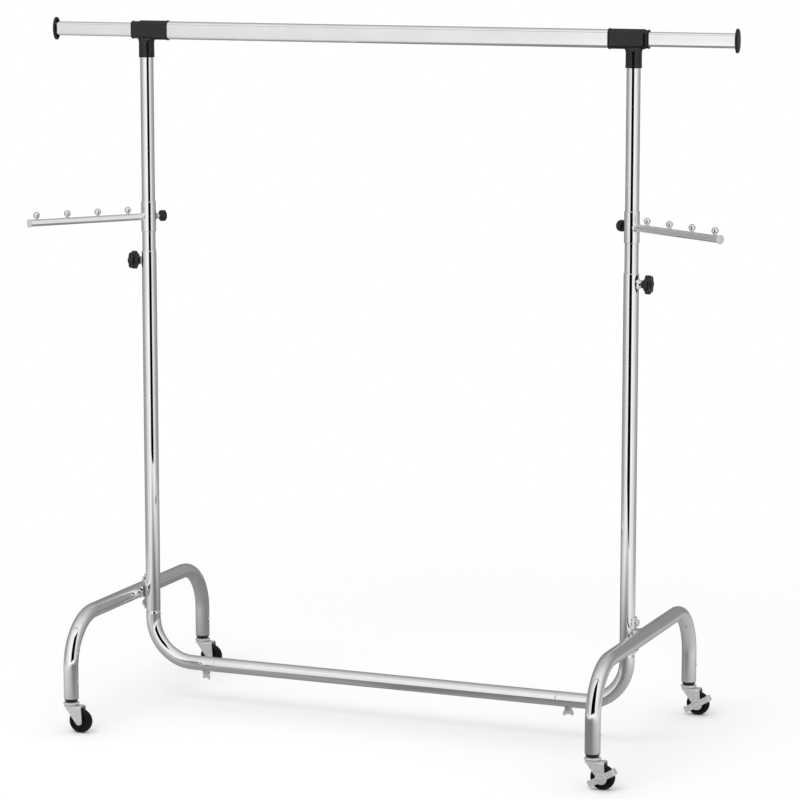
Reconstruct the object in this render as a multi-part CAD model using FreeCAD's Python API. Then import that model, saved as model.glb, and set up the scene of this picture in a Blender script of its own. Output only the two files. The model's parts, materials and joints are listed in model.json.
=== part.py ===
import FreeCAD, Part
import math
import os

# A rolling clothes rack: two telescoping chromed uprights on arched leg hoops, a base rail,
# a top bar with a pull-out bar at each end, two swivelling peg arms and four casters.
# Millimetres. +X to the right along the bar, +Y to the back, +Z up. The origin is the centre
# of the rack on the floor. The left and right halves mirror each other across X = 0.

V = FreeCAD.Vector
os.makedirs("parts", exist_ok=True)

# ---------------------------------------------------------------- driving dimensions
upright_spacing = 1095.0        # between the axes of the two uprights
leg_spacing = 640.0             # between the front and rear leg axes of one hoop
bar_height = 1468.0             # axis of the top bar above the floor
lower_top = 994.0               # top end of each lower upright
tube_od = 31.8                  # lower uprights, hoops, elbows, base rail and arm collars
tube_wall = 1.0
post_wall = 1.0
post_overlap = 246.0            # length of post inside the lower upright
liner_wall = 0.5                # plastic bushes between a tube and the post in it
swage_clearance = 0.15          # radial play of a reduced tube end in the next tube
swage_wall = 1.2
swage_shoulder = 6.0            # part of a reduced end that shows at its seam
fit_gap = 0.05                  # radial clearance of pieces that fit in each other
face_gap = 0.3                  # clearance between bodies that pass each other

# casters
wheel_diameter = 50.0
wheel_width = 18.0
hub_stand = 0.8                 # how far the hub stands out from the tread's side
hub_radius = 7.0
axle_radius = 3.0
caster_trail = 22.0
fork_side_gap = 0.4             # between the hub and the fork's sides
fork_wall = 1.8
fork_boss = 6.8
crown_gap = 5.2                 # between the wheel and the fork's crown
crown_rise = 4.7                # height of the crown with its race cup
race_radius = 17.2
race_height = 4.4
socket_show = 7.4               # flange that shows between the race and the leg
socket_flange_step = 0.5        # how much smaller the flange is than the leg
socket_flange_bottom_radius = 12.6
socket_depth = 42.0             # socket plug inside the leg tube
stem_radius = 5.5
stem_length = 38.0              # stem above the socket's flange
pivot_radius = 4.0
rivet_height = 38.0             # socket rivet above the leg's end
rivet_radius = 2.0
rivet_head = 3.4

# brake levers of the two right casters
lever_plate = 1.6
lever_tilt = 30.0
lever_clear = 6.5               # how far each tab stands outside the tread
lever_width = 13.0
lever_boss_radius = 12.5
lever_tab = 17.0

# leg hoops
leg_straight = 64.0             # from a leg's open end to its bend
hoop_bend_radius = 105.0

# brackets between hoops and uprights
bracket_plate = 3.6
bracket_height = 76.0
bracket_half_angle = 42.0
bracket_bolt_inset = 11.5       # bolt axes inside the plate's ends
bracket_bolt_radius = 3.9
bracket_bolt_grip = 12.0        # shank beyond the plate
bolt_head_af = 13.0
bolt_head_height = 5.3
nut_height = 5.0
seat_width = 30.0
seat_height = 24.0

# base
seam_drop = 3.0                 # the upright's lower seam, under its bracket
swage_past_bracket = 5.0        # reduced elbow end beyond the bracket's top
elbow_straight = 15.0           # between the seam and the elbow's bend
elbow_bend_radius = 95.0
elbow_reach = 152.0             # from the upright's axis to the rail's seam
rail_insert = 60.0              # reduced rail end inside the elbow
wing_bolt_setback = 24.0        # from the seam, on the elbow
weld_nut_radius = 8.0
weld_nut_height = 6.5
wing_shank_radius = 3.0
wing_hub_radius = 4.6
wing_span = 23.0
wing_height = 12.5
wing_thickness = 2.4
wing_turn = 25.0                # how far the wings stand turned from the rail's line

# upper frame
bar_h = 38.0
bar_w = 20.0
bar_flat = 0.8                  # half the flat left between the bar's rounded edges
bar_wall = 1.2
ext_h_step = 8.0                # how much lower the pull-out bars are than the bar
ext_w_step = 5.0
ext_flat = 0.5
ext_length = 480.0
ext_reach = 214.0               # bar end beyond the post's axis, at the pose shown
tee_inner = 53.0                # tee body towards the middle of the rack
tee_outer = 33.0                # tee body towards the end cap
tee_step = 12.0                 # where the outer nose of the tee starts
tee_wall = 2.3
tee_nose_drop = 1.8             # how much smaller the nose is, all round
tee_stem_wall = 2.7
tee_stem_drop = 58.0            # lower end of the tee's stem under the bar's axis
bar_seat_stop = 10.0            # bar ends stop this far from the post's axis
cap_h_over = 19.0               # how much larger the end caps are than the bar
cap_w_over = 13.0
cap_t = 6.0
cap_plug = 18.0

# peg arms
left_arm_rise = 74.0            # arm axis above the lower upright
right_arm_rise = 94.0
left_arm_swing = 54.0           # towards the front, from the bar's line
right_arm_swing = 34.0
collar_length = 65.0
arm_tube_od = 14.5
arm_tube_wall = 1.2
arm_length = 280.0              # tube end from the post's axis
arm_cap_over = 1.95             # how much larger the cap is than the tube, all round
arm_cap_thickness = 4.0
arm_cap_plug = 9.0
peg_first = 50.0
peg_last_inset = 14.0           # last peg from the tube's end
peg_count = 4
peg_ball_radius = 7.1
peg_rise = 16.0                 # ball centre above the arm's axis
peg_neck_radius = 3.0

# knobs
height_knob_drop = 22.0         # knob axis under the lower upright's top
boss_length = 7.0
boss_root_radius = 9.5
boss_tip_radius = 7.4
star_radius = 20.0
star_lobes = 7
star_thickness = 12.5
star_flute = 2.4                # depth of the hollows between the lobes
star_hub_length = 7.6           # hub between the star and the boss
star_hub_radius = 8.4
screw_radius = 4.0
screw_grip = 9.0                # length of screw held in the star
arm_boss_length = 11.6
arm_boss_root = 6.4
arm_boss_tip = 4.8
arm_knob_radius = 12.0
arm_knob_lobes = 12
arm_knob_thickness = 12.0
arm_screw_radius = 3.0

# ---------------------------------------------------------------- derived sizes and places
tube_r = tube_od / 2
tube_bore = tube_r - tube_wall
liner_outer = tube_bore - fit_gap
liner_inner = liner_outer - liner_wall
post_r = liner_inner - fit_gap
swage_r = tube_bore - swage_clearance

wheel_r = wheel_diameter / 2
axle_z = wheel_r
hub_half = wheel_width / 2 + hub_stand
fork_inner = hub_half + fork_side_gap
crown_bottom = wheel_diameter + crown_gap
fork_top = crown_bottom + crown_rise
race_bottom = fork_top + face_gap
race_top = race_bottom + race_height
leg_end_height = race_top + socket_show
socket_flange_top_radius = tube_r - socket_flange_step
lever_reach = wheel_r + lever_clear

half_spacing = upright_spacing / 2
half_leg = leg_spacing / 2
hoop_offset = 2 * tube_r + bracket_plate + fit_gap
hoop_x = half_spacing + hoop_offset
hoop_axis_height = leg_end_height + leg_straight + hoop_bend_radius
bracket_bolt_offset = bracket_height / 2 - bracket_bolt_inset
lower_bottom = hoop_axis_height - bracket_height / 2 - seam_drop
swage_top = hoop_axis_height + bracket_height / 2 + swage_past_bracket
rail_axis_height = lower_bottom - elbow_straight - elbow_bend_radius
seam_x = half_spacing - elbow_reach

bar_corner = bar_w / 2 - bar_flat
ext_h = bar_h - ext_h_step
ext_w = bar_w - ext_w_step
ext_corner = ext_w / 2 - ext_flat
tee_stem_radius = post_r + tee_stem_wall
tee_stem_bottom = bar_height - tee_stem_drop
cap_h = ext_h + cap_h_over
cap_w = ext_w + cap_w_over

arm_cap_radius = arm_tube_od / 2 + arm_cap_over
peg_pitch = (arm_length - peg_first - peg_last_inset) / (peg_count - 1)
height_knob_z = lower_top - height_knob_drop
X = V(1, 0, 0)
Y = V(0, 1, 0)
Z = V(0, 0, 1)
ARM_HEIGHT = {"left": lower_top + left_arm_rise, "right": lower_top + right_arm_rise}
ARM_SWING = {"left": left_arm_swing, "right": right_arm_swing}
SIDES = {"left": -1, "right": 1}
CASTERS = {"front_left": (-1, -1), "rear_left": (-1, 1),
           "front_right": (1, -1), "rear_right": (1, 1)}


# ---------------------------------------------------------------- helpers
def rod(radius, start, end):
    """A solid round rod between two points."""
    line = end.sub(start)
    return Part.makeCylinder(radius, line.Length, start, line)


def ring(outer, inner, start, end):
    """A round tube between two points."""
    return rod(outer, start, end).cut(rod(inner, start, end))


def cone(root_radius, tip_radius, start, end):
    line = end.sub(start)
    return Part.makeCone(root_radius, tip_radius, line.Length, start, line)


def bent_rod(radius, corners, bend_radius):
    """A round bar along straight runs joined by tangent arcs at each inner corner."""
    edges = []
    start = corners[0]
    for before, corner, after in zip(corners, corners[1:], corners[2:]):
        into = corner.sub(before).normalize()
        out = after.sub(corner).normalize()
        setback = bend_radius * math.tan(into.getAngle(out) / 2)
        first = corner.sub(V(into).multiply(setback))
        last = corner.add(V(out).multiply(setback))
        inward = V(out).sub(into).normalize()
        centre_distance = bend_radius / math.cos(into.getAngle(out) / 2)
        middle = corner.add(V(inward).multiply(centre_distance - bend_radius))
        if first.sub(start).Length > 1e-6:
            edges.append(Part.LineSegment(start, first).toShape())
        edges.append(Part.Arc(first, middle, last).toShape())
        start = last
    edges.append(Part.LineSegment(start, corners[-1]).toShape())
    heading = corners[1].sub(corners[0])
    profile = Part.Wire([Part.Circle(corners[0], heading, radius).toShape()])
    return Part.Wire(edges).makePipeShell([profile], True, True)


def bent_tube(outer, inner, corners, bend_radius):
    return bent_rod(outer, corners, bend_radius).cut(bent_rod(inner, corners, bend_radius))


def oval_bar(height, width, corner, x0, x1, z=bar_height):
    """A bar along X with a rounded rectangular section, centred on Y = 0 and the given Z."""
    low, high = min(x0, x1), max(x0, x1)
    block = Part.makeBox(high - low, width, height, V(low, -width / 2, z - height / 2))
    edges = [e for e in block.Edges if abs(e.Vertexes[0].Point.x - e.Vertexes[1].Point.x) > 1e-6]
    return block.makeFillet(corner, edges)


def oval_tube(height, width, corner, wall, x0, x1):
    outer = oval_bar(height, width, corner, x0, x1)
    inner = oval_bar(height - 2 * wall, width - 2 * wall, corner - wall, x0, x1)
    return outer.cut(inner)


def hexagon(across_flats, start, end):
    """A hexagonal prism between two points."""
    line = end.sub(start)
    radius = across_flats / math.sqrt(3)
    side = Z if abs(line.z) < 0.5 * line.Length else X
    other = line.cross(side).normalize()
    points = []
    for step in range(7):
        turn = math.radians(60 * step)
        spoke = V(side).multiply(radius * math.cos(turn))
        points.append(start.add(spoke).add(V(other).multiply(radius * math.sin(turn))))
    return Part.Face(Part.makePolygon(points)).extrude(line)


def at_side(side, distance, y, z):
    """A point measured outwards from one upright's axis."""
    return V(SIDES[side] * (half_spacing + distance), y, z)


def arm_point(side, distance, z):
    """A point along one peg arm, measured from its post's axis."""
    swing = math.radians(ARM_SWING[side])
    x = SIDES[side] * (half_spacing + distance * math.cos(swing))
    return V(x, -distance * math.sin(swing), z)


def set_along(shape, point, direction):
    """Turns a shape made along +X to a level direction and moves it to its place."""
    shape.rotate(V(0, 0, 0), Z, math.degrees(math.atan2(direction.y, direction.x)))
    shape.translate(point)
    return shape


def group(solids):
    return Part.makeCompound(solids)


def write(name, shape):
    shape.exportStep("parts/" + name + ".step")


# ---------------------------------------------------------------- legs
def leg_hoop(side):
    x = SIDES[side] * hoop_x
    corners = [V(x, -half_leg, leg_end_height), V(x, -half_leg, hoop_axis_height),
               V(x, half_leg, hoop_axis_height), V(x, half_leg, leg_end_height)]
    hoop = bent_tube(tube_r, tube_bore, corners, hoop_bend_radius)
    for y in (-half_leg, half_leg):
        z = leg_end_height + rivet_height
        hoop = hoop.cut(rod(rivet_radius + fit_gap, V(x + 5, y, z), V(x + 2 * tube_r, y, z)))
    return hoop


def leg_bracket(side):
    """The curved plate that clasps the upright, with the seat that the hoop is welded in."""
    axis_low = at_side(side, 0, 0, hoop_axis_height - bracket_height / 2)
    axis_high = at_side(side, 0, 0, hoop_axis_height + bracket_height / 2)
    inner = tube_r + fit_gap
    plate = ring(inner + bracket_plate, inner, axis_low, axis_high)
    start = math.degrees(math.atan2(0, SIDES[side])) - bracket_half_angle
    sector = Part.makeCylinder(2 * tube_r, bracket_height, axis_low, Z, 2 * bracket_half_angle)
    sector.rotate(axis_low, Z, start)
    plate = plate.common(sector)
    seat = Part.makeBox(tube_r, seat_width, seat_height)
    x_in = inner + bracket_plate / 2
    x = half_spacing + x_in if SIDES[side] > 0 else -half_spacing - x_in - tube_r
    seat.translate(V(x, -seat_width / 2, hoop_axis_height - seat_height / 2))
    seat = seat.cut(rod(inner + bracket_plate / 2, axis_low, axis_high))
    hoop_line = (V(SIDES[side] * hoop_x, -50, hoop_axis_height),
                 V(SIDES[side] * hoop_x, 50, hoop_axis_height))
    beyond = Part.makeBox(2 * tube_r, 2 * seat_width, 2 * seat_height)
    cut_x = SIDES[side] * (hoop_x - tube_r * 0.45)
    low_x = cut_x if SIDES[side] > 0 else cut_x - 2 * tube_r
    beyond.translate(V(low_x, -seat_width, hoop_axis_height - seat_height))
    bracket = plate.fuse(seat.cut(beyond)).cut(rod(tube_r + fit_gap, *hoop_line))
    for z in bolt_heights():
        hole = rod(bracket_bolt_radius + fit_gap, at_side(side, 0, 0, z),
                   at_side(side, 2 * tube_r, 0, z))
        bracket = bracket.cut(hole)
    return bracket.removeSplitter()


def bolt_heights():
    return (hoop_axis_height - bracket_bolt_offset, hoop_axis_height + bracket_bolt_offset)


def bracket_bolt(side, z):
    face = tube_r + fit_gap + bracket_plate
    head = hexagon(bolt_head_af, at_side(side, face, 0, z),
                   at_side(side, face + bolt_head_height, 0, z))
    shank = rod(bracket_bolt_radius, at_side(side, face - bracket_plate - bracket_bolt_grip, 0, z),
                at_side(side, face + 1, 0, z))
    dome = Part.makeSphere(bolt_head_af, at_side(side, face + bolt_head_height - 12.2, 0, z))
    return head.common(dome).fuse(shank).removeSplitter()


def bracket_nut(side, z):
    """The nut held inside the swaged tube, on the bolt's end."""
    bore = swage_r - swage_wall
    outer = math.sqrt(bore ** 2 - (bolt_head_af / math.sqrt(3)) ** 2) - fit_gap
    nut = hexagon(bolt_head_af, at_side(side, outer - nut_height, 0, z),
                  at_side(side, outer, 0, z))
    return nut.cut(rod(bracket_bolt_radius + fit_gap / 2, at_side(side, 0, 0, z),
                       at_side(side, tube_r, 0, z)))


# ---------------------------------------------------------------- base
def base_elbow(side):
    """The bent tube from the upright down to the rail, with its weld nut underneath."""
    s = SIDES[side]
    seam = V(s * seam_x, 0, rail_axis_height)
    corner = at_side(side, 0, 0, rail_axis_height)
    shoulder = at_side(side, 0, 0, lower_bottom - swage_shoulder)
    elbow = bent_rod(tube_r, [shoulder, corner, seam], elbow_bend_radius)
    inner = bent_rod(tube_bore, [shoulder, corner, seam], elbow_bend_radius)
    top = at_side(side, 0, 0, swage_top)
    neck = at_side(side, 0, 0, lower_bottom - 0.5)
    elbow = elbow.fuse(cone(tube_r, swage_r, shoulder, neck)).fuse(rod(swage_r, neck, top))
    core = cone(tube_bore, swage_r - swage_wall, shoulder, neck)
    elbow = elbow.cut(inner).cut(core).cut(rod(swage_r - swage_wall, neck, top))
    for z in bolt_heights():
        elbow = elbow.cut(rod(bracket_bolt_radius + fit_gap, at_side(side, 5, 0, z),
                              at_side(side, tube_r + 5, 0, z)))
    x = s * (seam_x + wing_bolt_setback)
    under = rail_axis_height - tube_r
    nut = rod(weld_nut_radius, V(x, 0, under - weld_nut_height), V(x, 0, under + 2.5))
    nut = nut.cut(rod(tube_r - tube_wall / 2, V(x - 20, 0, rail_axis_height),
                      V(x + 20, 0, rail_axis_height)))
    hole = rod(wing_shank_radius + fit_gap, V(x, 0, under - 20), V(x, 0, rail_axis_height - 10))
    return elbow.fuse(nut).cut(hole).removeSplitter()


def base_rail():
    """The straight rail, with an end swaged down to push into each elbow."""
    left = V(-seam_x + fit_gap, 0, rail_axis_height)
    right = V(seam_x - fit_gap, 0, rail_axis_height)
    rail = rod(tube_r, left, right)
    bore = rod(tube_bore, left, right)
    for s in SIDES.values():
        end = V(s * (seam_x + rail_insert), 0, rail_axis_height)
        start = V(s * (seam_x - swage_shoulder), 0, rail_axis_height)
        rail = rail.fuse(rod(swage_r, start, end))
        bore = bore.cut(rod(tube_r, start, V(s * seam_x, 0, rail_axis_height)))
        bore = bore.fuse(rod(swage_r - swage_wall, start, end))
    return rail.cut(bore).removeSplitter()


def lower_upright(side):
    """The outer tube, with the conical boss that takes the lock knob's screw."""
    low = at_side(side, 0, 0, lower_bottom)
    high = at_side(side, 0, 0, lower_top)
    tube = ring(tube_r, tube_bore, low, high)
    boss = cone(boss_root_radius, boss_tip_radius, at_side(side, tube_bore + 0.4, 0, height_knob_z),
                at_side(side, tube_r + boss_length, 0, height_knob_z))
    boss = boss.cut(rod(tube_bore + 0.4, low, high))
    tube = tube.fuse(boss).cut(rod(screw_radius + fit_gap, at_side(side, 5, 0, height_knob_z),
                                   at_side(side, 60, 0, height_knob_z)))
    for z in bolt_heights():
        tube = tube.cut(rod(bracket_bolt_radius + fit_gap, at_side(side, 5, 0, z),
                            at_side(side, tube_r + 5, 0, z)))
    return tube.removeSplitter()


def guide_bush(side):
    """The split plastic bush that steadies the post in the lower upright."""
    low = at_side(side, 0, 0, lower_top - 70)
    high = at_side(side, 0, 0, lower_top)
    return ring(liner_outer, liner_inner, low, high)


def wing_bolt(side):
    x = SIDES[side] * (seam_x + wing_bolt_setback)
    nut_face = rail_axis_height - tube_r - weld_nut_height
    top = nut_face - face_gap
    tip = rail_axis_height - swage_r - 0.1
    shank = rod(wing_shank_radius, V(x, 0, top - 2), V(x, 0, tip))
    hub = cone(wing_hub_radius + 0.8, wing_hub_radius,
               V(x, 0, top), V(x, 0, top - wing_height * 0.6))
    wings = []
    for end in (-1, 1):
        wing = Part.makeCylinder(wing_height * 0.46, wing_thickness, V(0, 0, 0), Y)
        wing.translate(V(end * (wing_span / 2 - wing_height * 0.46), -wing_thickness / 2, 0))
        wings.append(wing)
    web = Part.makeBox(wing_span * 0.55, wing_thickness, wing_height * 0.5)
    web.translate(V(-wing_span * 0.275, -wing_thickness / 2, -wing_height * 0.1))
    blade = wings[0].fuse(wings[1]).fuse(web)
    blade.rotate(V(0, 0, 0), Z, wing_turn * SIDES[side])
    blade.translate(V(x, 0, top - wing_height * 0.54))
    return hub.fuse(shank).fuse(blade).removeSplitter()


# ---------------------------------------------------------------- casters
def caster_place(name):
    sx, sy = CASTERS[name]
    return V(sx * hoop_x, sy * half_leg, 0)


def caster_socket(name):
    """The plastic plug in the leg's end, with the tapered flange that shows below it."""
    place = caster_place(name)
    flange = cone(socket_flange_bottom_radius, socket_flange_top_radius,
                  place.add(V(0, 0, race_top + 0.1)), place.add(V(0, 0, leg_end_height - 0.05)))
    plug = rod(tube_bore - fit_gap, place.add(V(0, 0, leg_end_height - 0.6)),
               place.add(V(0, 0, leg_end_height + socket_depth)))
    bore = rod(stem_radius + fit_gap, place.add(V(0, 0, race_top - 5)),
               place.add(V(0, 0, race_top + stem_length + 1)))
    z = leg_end_height + rivet_height
    rivet = rod(rivet_radius + fit_gap, place.add(V(8, 0, z)), place.add(V(20, 0, z)))
    return flange.fuse(plug).cut(bore).cut(rivet).removeSplitter()


def caster_stem(name):
    """The stem in the socket, its fixed race, and the pivot that the fork turns on."""
    place = caster_place(name)
    stem = rod(stem_radius, place.add(V(0, 0, race_top - 1)),
               place.add(V(0, 0, race_top + stem_length)))
    race = cone(race_radius, race_radius - 2.2, place.add(V(0, 0, race_bottom)),
                place.add(V(0, 0, race_top)))
    rim = rod(race_radius, place.add(V(0, 0, race_bottom)), place.add(V(0, 0, race_bottom + 2.2)))
    pivot = rod(pivot_radius, place.add(V(0, 0, crown_bottom - 2.5)),
                place.add(V(0, 0, race_bottom + 1)))
    head = rod(pivot_radius + 2.2, place.add(V(0, 0, crown_bottom - 2.6)),
               place.add(V(0, 0, crown_bottom - face_gap)))
    return stem.fuse(race).fuse(rim).fuse(pivot).fuse(head).removeSplitter()


def socket_rivet(name):
    place = caster_place(name)
    z = leg_end_height + rivet_height
    pin = rod(rivet_radius, place.add(V(9, 0, z)), place.add(V(tube_r + 1, 0, z)))
    head = Part.makeSphere(rivet_head, place.add(V(tube_r - 1.0, 0, z)))
    keep = Part.makeBox(5, 10, 10, place.add(V(tube_r, -5, z - 5)))
    return pin.fuse(head.common(keep)).removeSplitter()


def fork_side_outline(y):
    """One side of the fork: wide under the crown, tapering to the round axle boss."""
    top_front = V(-13.5, y, crown_bottom + 1.0)
    top_back = V(16.0, y, crown_bottom + 1.0)
    centre = V(caster_trail, y, axle_z)

    def tangent(point, hand):
        reach = point.sub(centre)
        turn = hand * math.acos(fork_boss / reach.Length)
        base = math.atan2(reach.z, reach.x) + turn
        return centre.add(V(fork_boss * math.cos(base), 0, fork_boss * math.sin(base)))

    low_front = tangent(top_front, 1)
    low_back = tangent(top_back, -1)
    bottom = centre.add(V(fork_boss * math.cos(math.radians(-80)), 0,
                          fork_boss * math.sin(math.radians(-80))))
    edges = [Part.LineSegment(top_back, top_front).toShape(),
             Part.LineSegment(top_front, low_front).toShape(),
             Part.Arc(low_front, bottom, low_back).toShape(),
             Part.LineSegment(low_back, top_back).toShape()]
    return Part.Face(Part.Wire(edges)).extrude(V(0, fork_wall, 0))


def caster_fork(name):
    """The stamped fork: two tapered sides, the crown and the turning race cup."""
    place = caster_place(name)
    fork = fork_side_outline(fork_inner).fuse(fork_side_outline(-fork_inner - fork_wall))
    width = 2 * (fork_inner + fork_wall)
    crown = Part.makeBox(29.5, width, 2.0, V(-13.5, -width / 2, crown_bottom))
    corners = [e for e in crown.Edges if abs(e.tangentAt(e.FirstParameter).z) > 0.9]
    crown = crown.makeFillet(4.0, corners)
    cup = cone(13.5, race_radius - 1.4, V(0, 0, crown_bottom + 1.2), V(0, 0, fork_top))
    fork = fork.fuse(crown).fuse(cup)
    fork = fork.cut(rod(pivot_radius + fit_gap, V(0, 0, crown_bottom - 5), V(0, 0, race_top + 5)))
    fork = fork.cut(rod(axle_radius + fit_gap, V(caster_trail, -20, axle_z),
                        V(caster_trail, 20, axle_z)))
    fork = fork.removeSplitter()
    fork.translate(place)
    return fork


def has_lever(name):
    return name.endswith("right")


def caster_axle(name):
    """The axle rivet, longer on the side that carries a brake lever."""
    centre = caster_place(name).add(V(caster_trail, 0, axle_z))
    back = fork_inner + fork_wall + fit_gap
    front = back
    if has_lever(name):
        front = back + face_gap + lever_plate + 1.2 + face_gap
    pin = rod(axle_radius, centre.add(V(0, -front - 1, 0)), centre.add(V(0, back + 1, 0)))
    for sign, reach in ((-1, front), (1, back)):
        head = cone(5.0, 3.6, centre.add(V(0, sign * reach, 0)),
                    centre.add(V(0, sign * (reach + 2.4), 0)))
        pin = pin.fuse(head)
    return pin.removeSplitter()


def caster_wheel(name):
    """The wheel: a crowned tread, a dished web on each side and a longer hub."""
    half = wheel_width / 2
    radii = ((half, wheel_r - 3.0), (half, wheel_r - 6.5), (half - 2.4, wheel_r - 8.0),
             (half - 2.4, hub_radius + 1.5), (hub_half, hub_radius), (hub_half, axle_radius + 0.06))
    outline = [V(0, y, r) for y, r in radii]
    outline += [V(0, -y, r) for y, r in reversed(radii)]
    edges = [Part.LineSegment(a, b).toShape() for a, b in zip(outline, outline[1:])]
    edges.append(Part.Arc(outline[-1], V(0, -half + 1.6, wheel_r - 0.8),
                          V(0, -half + 5.0, wheel_r)).toShape())
    edges.append(Part.LineSegment(V(0, -half + 5.0, wheel_r), V(0, half - 5.0, wheel_r)).toShape())
    edges.append(Part.Arc(V(0, half - 5.0, wheel_r), V(0, half - 1.6, wheel_r - 0.8),
                          outline[0]).toShape())
    face = Part.Face(Part.Wire(Part.__sortEdges__(edges)))
    wheel = face.revolve(V(0, 0, 0), Y, 360)
    wheel.translate(caster_place(name).add(V(caster_trail, 0, axle_z)))
    return wheel


def brake_lever(name):
    """The stamped lever on the axle, with a round boss and a folded tab at each end."""
    inner_y = -(fork_inner + fork_wall + fit_gap + face_gap)
    outer_y = inner_y - lever_plate
    boss = rod(lever_boss_radius, V(0, inner_y, 0), V(0, outer_y, 0))
    raised = cone(8.5, 7.0, V(0, outer_y, 0), V(0, outer_y - 1.2, 0))
    blade = Part.makeBox(2 * lever_reach, lever_plate, lever_width,
                         V(-lever_reach, outer_y, -lever_width / 2))
    lever = boss.fuse(raised).fuse(blade)
    for end in (-1, 1):
        x = end * lever_reach - (lever_plate if end > 0 else 0)
        lever = lever.fuse(Part.makeBox(lever_plate, lever_tab, lever_width,
                                        V(x, outer_y, -lever_width / 2)))
    lever = lever.cut(rod(axle_radius + fit_gap, V(0, 5, 0), V(0, -30, 0))).removeSplitter()
    lever.rotate(V(0, 0, 0), Y, -lever_tilt)
    lever.translate(caster_place(name).add(V(caster_trail, 0, axle_z)))
    return lever


# ---------------------------------------------------------------- upper frame
def post(side):
    low = at_side(side, 0, 0, lower_top - post_overlap)
    high = at_side(side, 0, 0, post_top())
    tube = ring(post_r, post_r - post_wall, low, high)
    return tube.cut(tee_screw_hole(side, post_r))


def post_top():
    return bar_height - bar_h / 2 - tee_wall - 0.1


def tee_screw_place(side):
    return at_side(side, 0, 0, (tee_stem_bottom + post_top()) / 2)


def tee_screw_hole(side, radius):
    place = tee_screw_place(side)
    return rod(1.85, place.add(V(0, radius - 8, 0)), place.add(V(0, radius + 12, 0)))


def tee(side):
    """The moulded tee: a socket for the bar, a nose that guides the pull-out bar, a stem."""
    s = SIDES[side]
    inner_end = s * (half_spacing - tee_inner)
    step = s * (half_spacing + tee_step)
    outer_end = s * (half_spacing + tee_outer)
    grow = 2 * tee_wall
    body = oval_bar(bar_h + grow, bar_w + grow, bar_corner + tee_wall, inner_end, step)
    nose = oval_bar(bar_h + grow - 2 * tee_nose_drop, bar_w + grow - 2 * tee_nose_drop,
                    bar_corner + tee_wall - tee_nose_drop, step - s, outer_end)
    stem_top = at_side(side, 0, 0, bar_height - bar_h / 4)
    stem = rod(tee_stem_radius, at_side(side, 0, 0, tee_stem_bottom), stem_top)
    saddle = cone(tee_stem_radius, tee_stem_radius + 5,
                  at_side(side, 0, 0, bar_height - bar_h / 2 - 9),
                  at_side(side, 0, 0, bar_height - bar_h / 2 + 2))
    keep = Part.makeBox(60, bar_w + grow + 8, 40)
    keep.translate(at_side(side, 0, 0, bar_height - bar_h / 2 - 20).sub(
        V(30, (bar_w + grow + 8) / 2, 0)))
    solid = body.fuse(nose).fuse(stem).fuse(saddle.common(keep)).removeSplitter()
    socket = oval_bar(bar_h + 2 * fit_gap, bar_w + 2 * fit_gap, bar_corner + fit_gap,
                      s * (half_spacing - tee_inner - 1),
                      s * (half_spacing - bar_seat_stop + fit_gap))
    slide = oval_bar(ext_h + 0.14, ext_w + 0.14, ext_corner + 0.07,
                     s * (half_spacing - tee_inner), s * (half_spacing + tee_outer + 1))
    bore = rod(post_r + fit_gap, at_side(side, 0, 0, tee_stem_bottom - 1),
               at_side(side, 0, 0, post_top() + 0.1))
    solid = solid.cut(socket).cut(slide).cut(bore)
    return solid.cut(tee_screw_hole(side, post_r)).removeSplitter()


def main_bar():
    end = half_spacing - bar_seat_stop
    return oval_tube(bar_h, bar_w, bar_corner, bar_wall, -end, end)


def tee_screw(side):
    """The self-tapping screw that holds the post in the tee, driven in from the back."""
    place = tee_screw_place(side)
    head_y = tee_stem_radius
    shank = rod(1.8, place.add(V(0, post_r - 4, 0)), place.add(V(0, head_y + 0.5, 0)))
    head = Part.makeSphere(4.6, place.add(V(0, head_y - 2.3, 0)))
    keep = Part.makeBox(12, 6, 12, place.add(V(-6, head_y, -6)))
    return shank.fuse(head.common(keep)).removeSplitter()


def extension_bar(side):
    s = SIDES[side]
    outer = s * (half_spacing + ext_reach)
    inner = outer - s * ext_length
    return oval_tube(ext_h, ext_w, ext_corner, bar_wall, inner, outer)


def end_cap(side):
    """The lens-shaped flange on the pull-out bar's end, with its plug in the bar."""
    s = SIDES[side]
    face = s * (half_spacing + ext_reach)
    outline = Part.Ellipse(V(0, 0, 0), cap_h / 2, cap_w / 2).toShape()
    flange = Part.Face(Part.Wire([outline])).extrude(Z * cap_t)
    rim = [e for e in flange.Edges if abs(e.CenterOfMass.z - cap_t) < 0.01]
    flange = flange.makeFillet(1.8, rim)
    flange.rotate(V(0, 0, 0), Y, 90 * s)
    flange.translate(V(face, 0, bar_height))
    gap = 2 * (bar_wall + fit_gap)
    plug = oval_bar(ext_h - gap, ext_w - gap, ext_corner - gap / 2, face - s * cap_plug,
                    face + s * 1.0)
    return flange.fuse(plug).removeSplitter()


# ---------------------------------------------------------------- peg arms
def collar_ends(side):
    z = ARM_HEIGHT[side]
    return at_side(side, 0, 0, z - collar_length / 2), at_side(side, 0, 0, z + collar_length / 2)


def arm_liner(side):
    """The split plastic liner that slides on the post and lets the collar turn."""
    return ring(liner_outer, liner_inner, *collar_ends(side))


def arm_collar(side):
    """The sleeve on the post, with the boss of its lock knob opposite the arm."""
    low, high = collar_ends(side)
    inner = liner_outer + fit_gap
    z = ARM_HEIGHT[side]
    sleeve = rod(tube_r, low, high)
    boss = cone(arm_boss_root, arm_boss_tip, arm_point(side, -inner - 0.4, z),
                arm_point(side, -tube_r - arm_boss_length, z))
    sleeve = sleeve.fuse(boss).cut(rod(inner, low, high))
    screw = rod(arm_screw_radius + fit_gap, arm_point(side, 0, z), arm_point(side, -60, z))
    return sleeve.cut(screw).removeSplitter()


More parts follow.
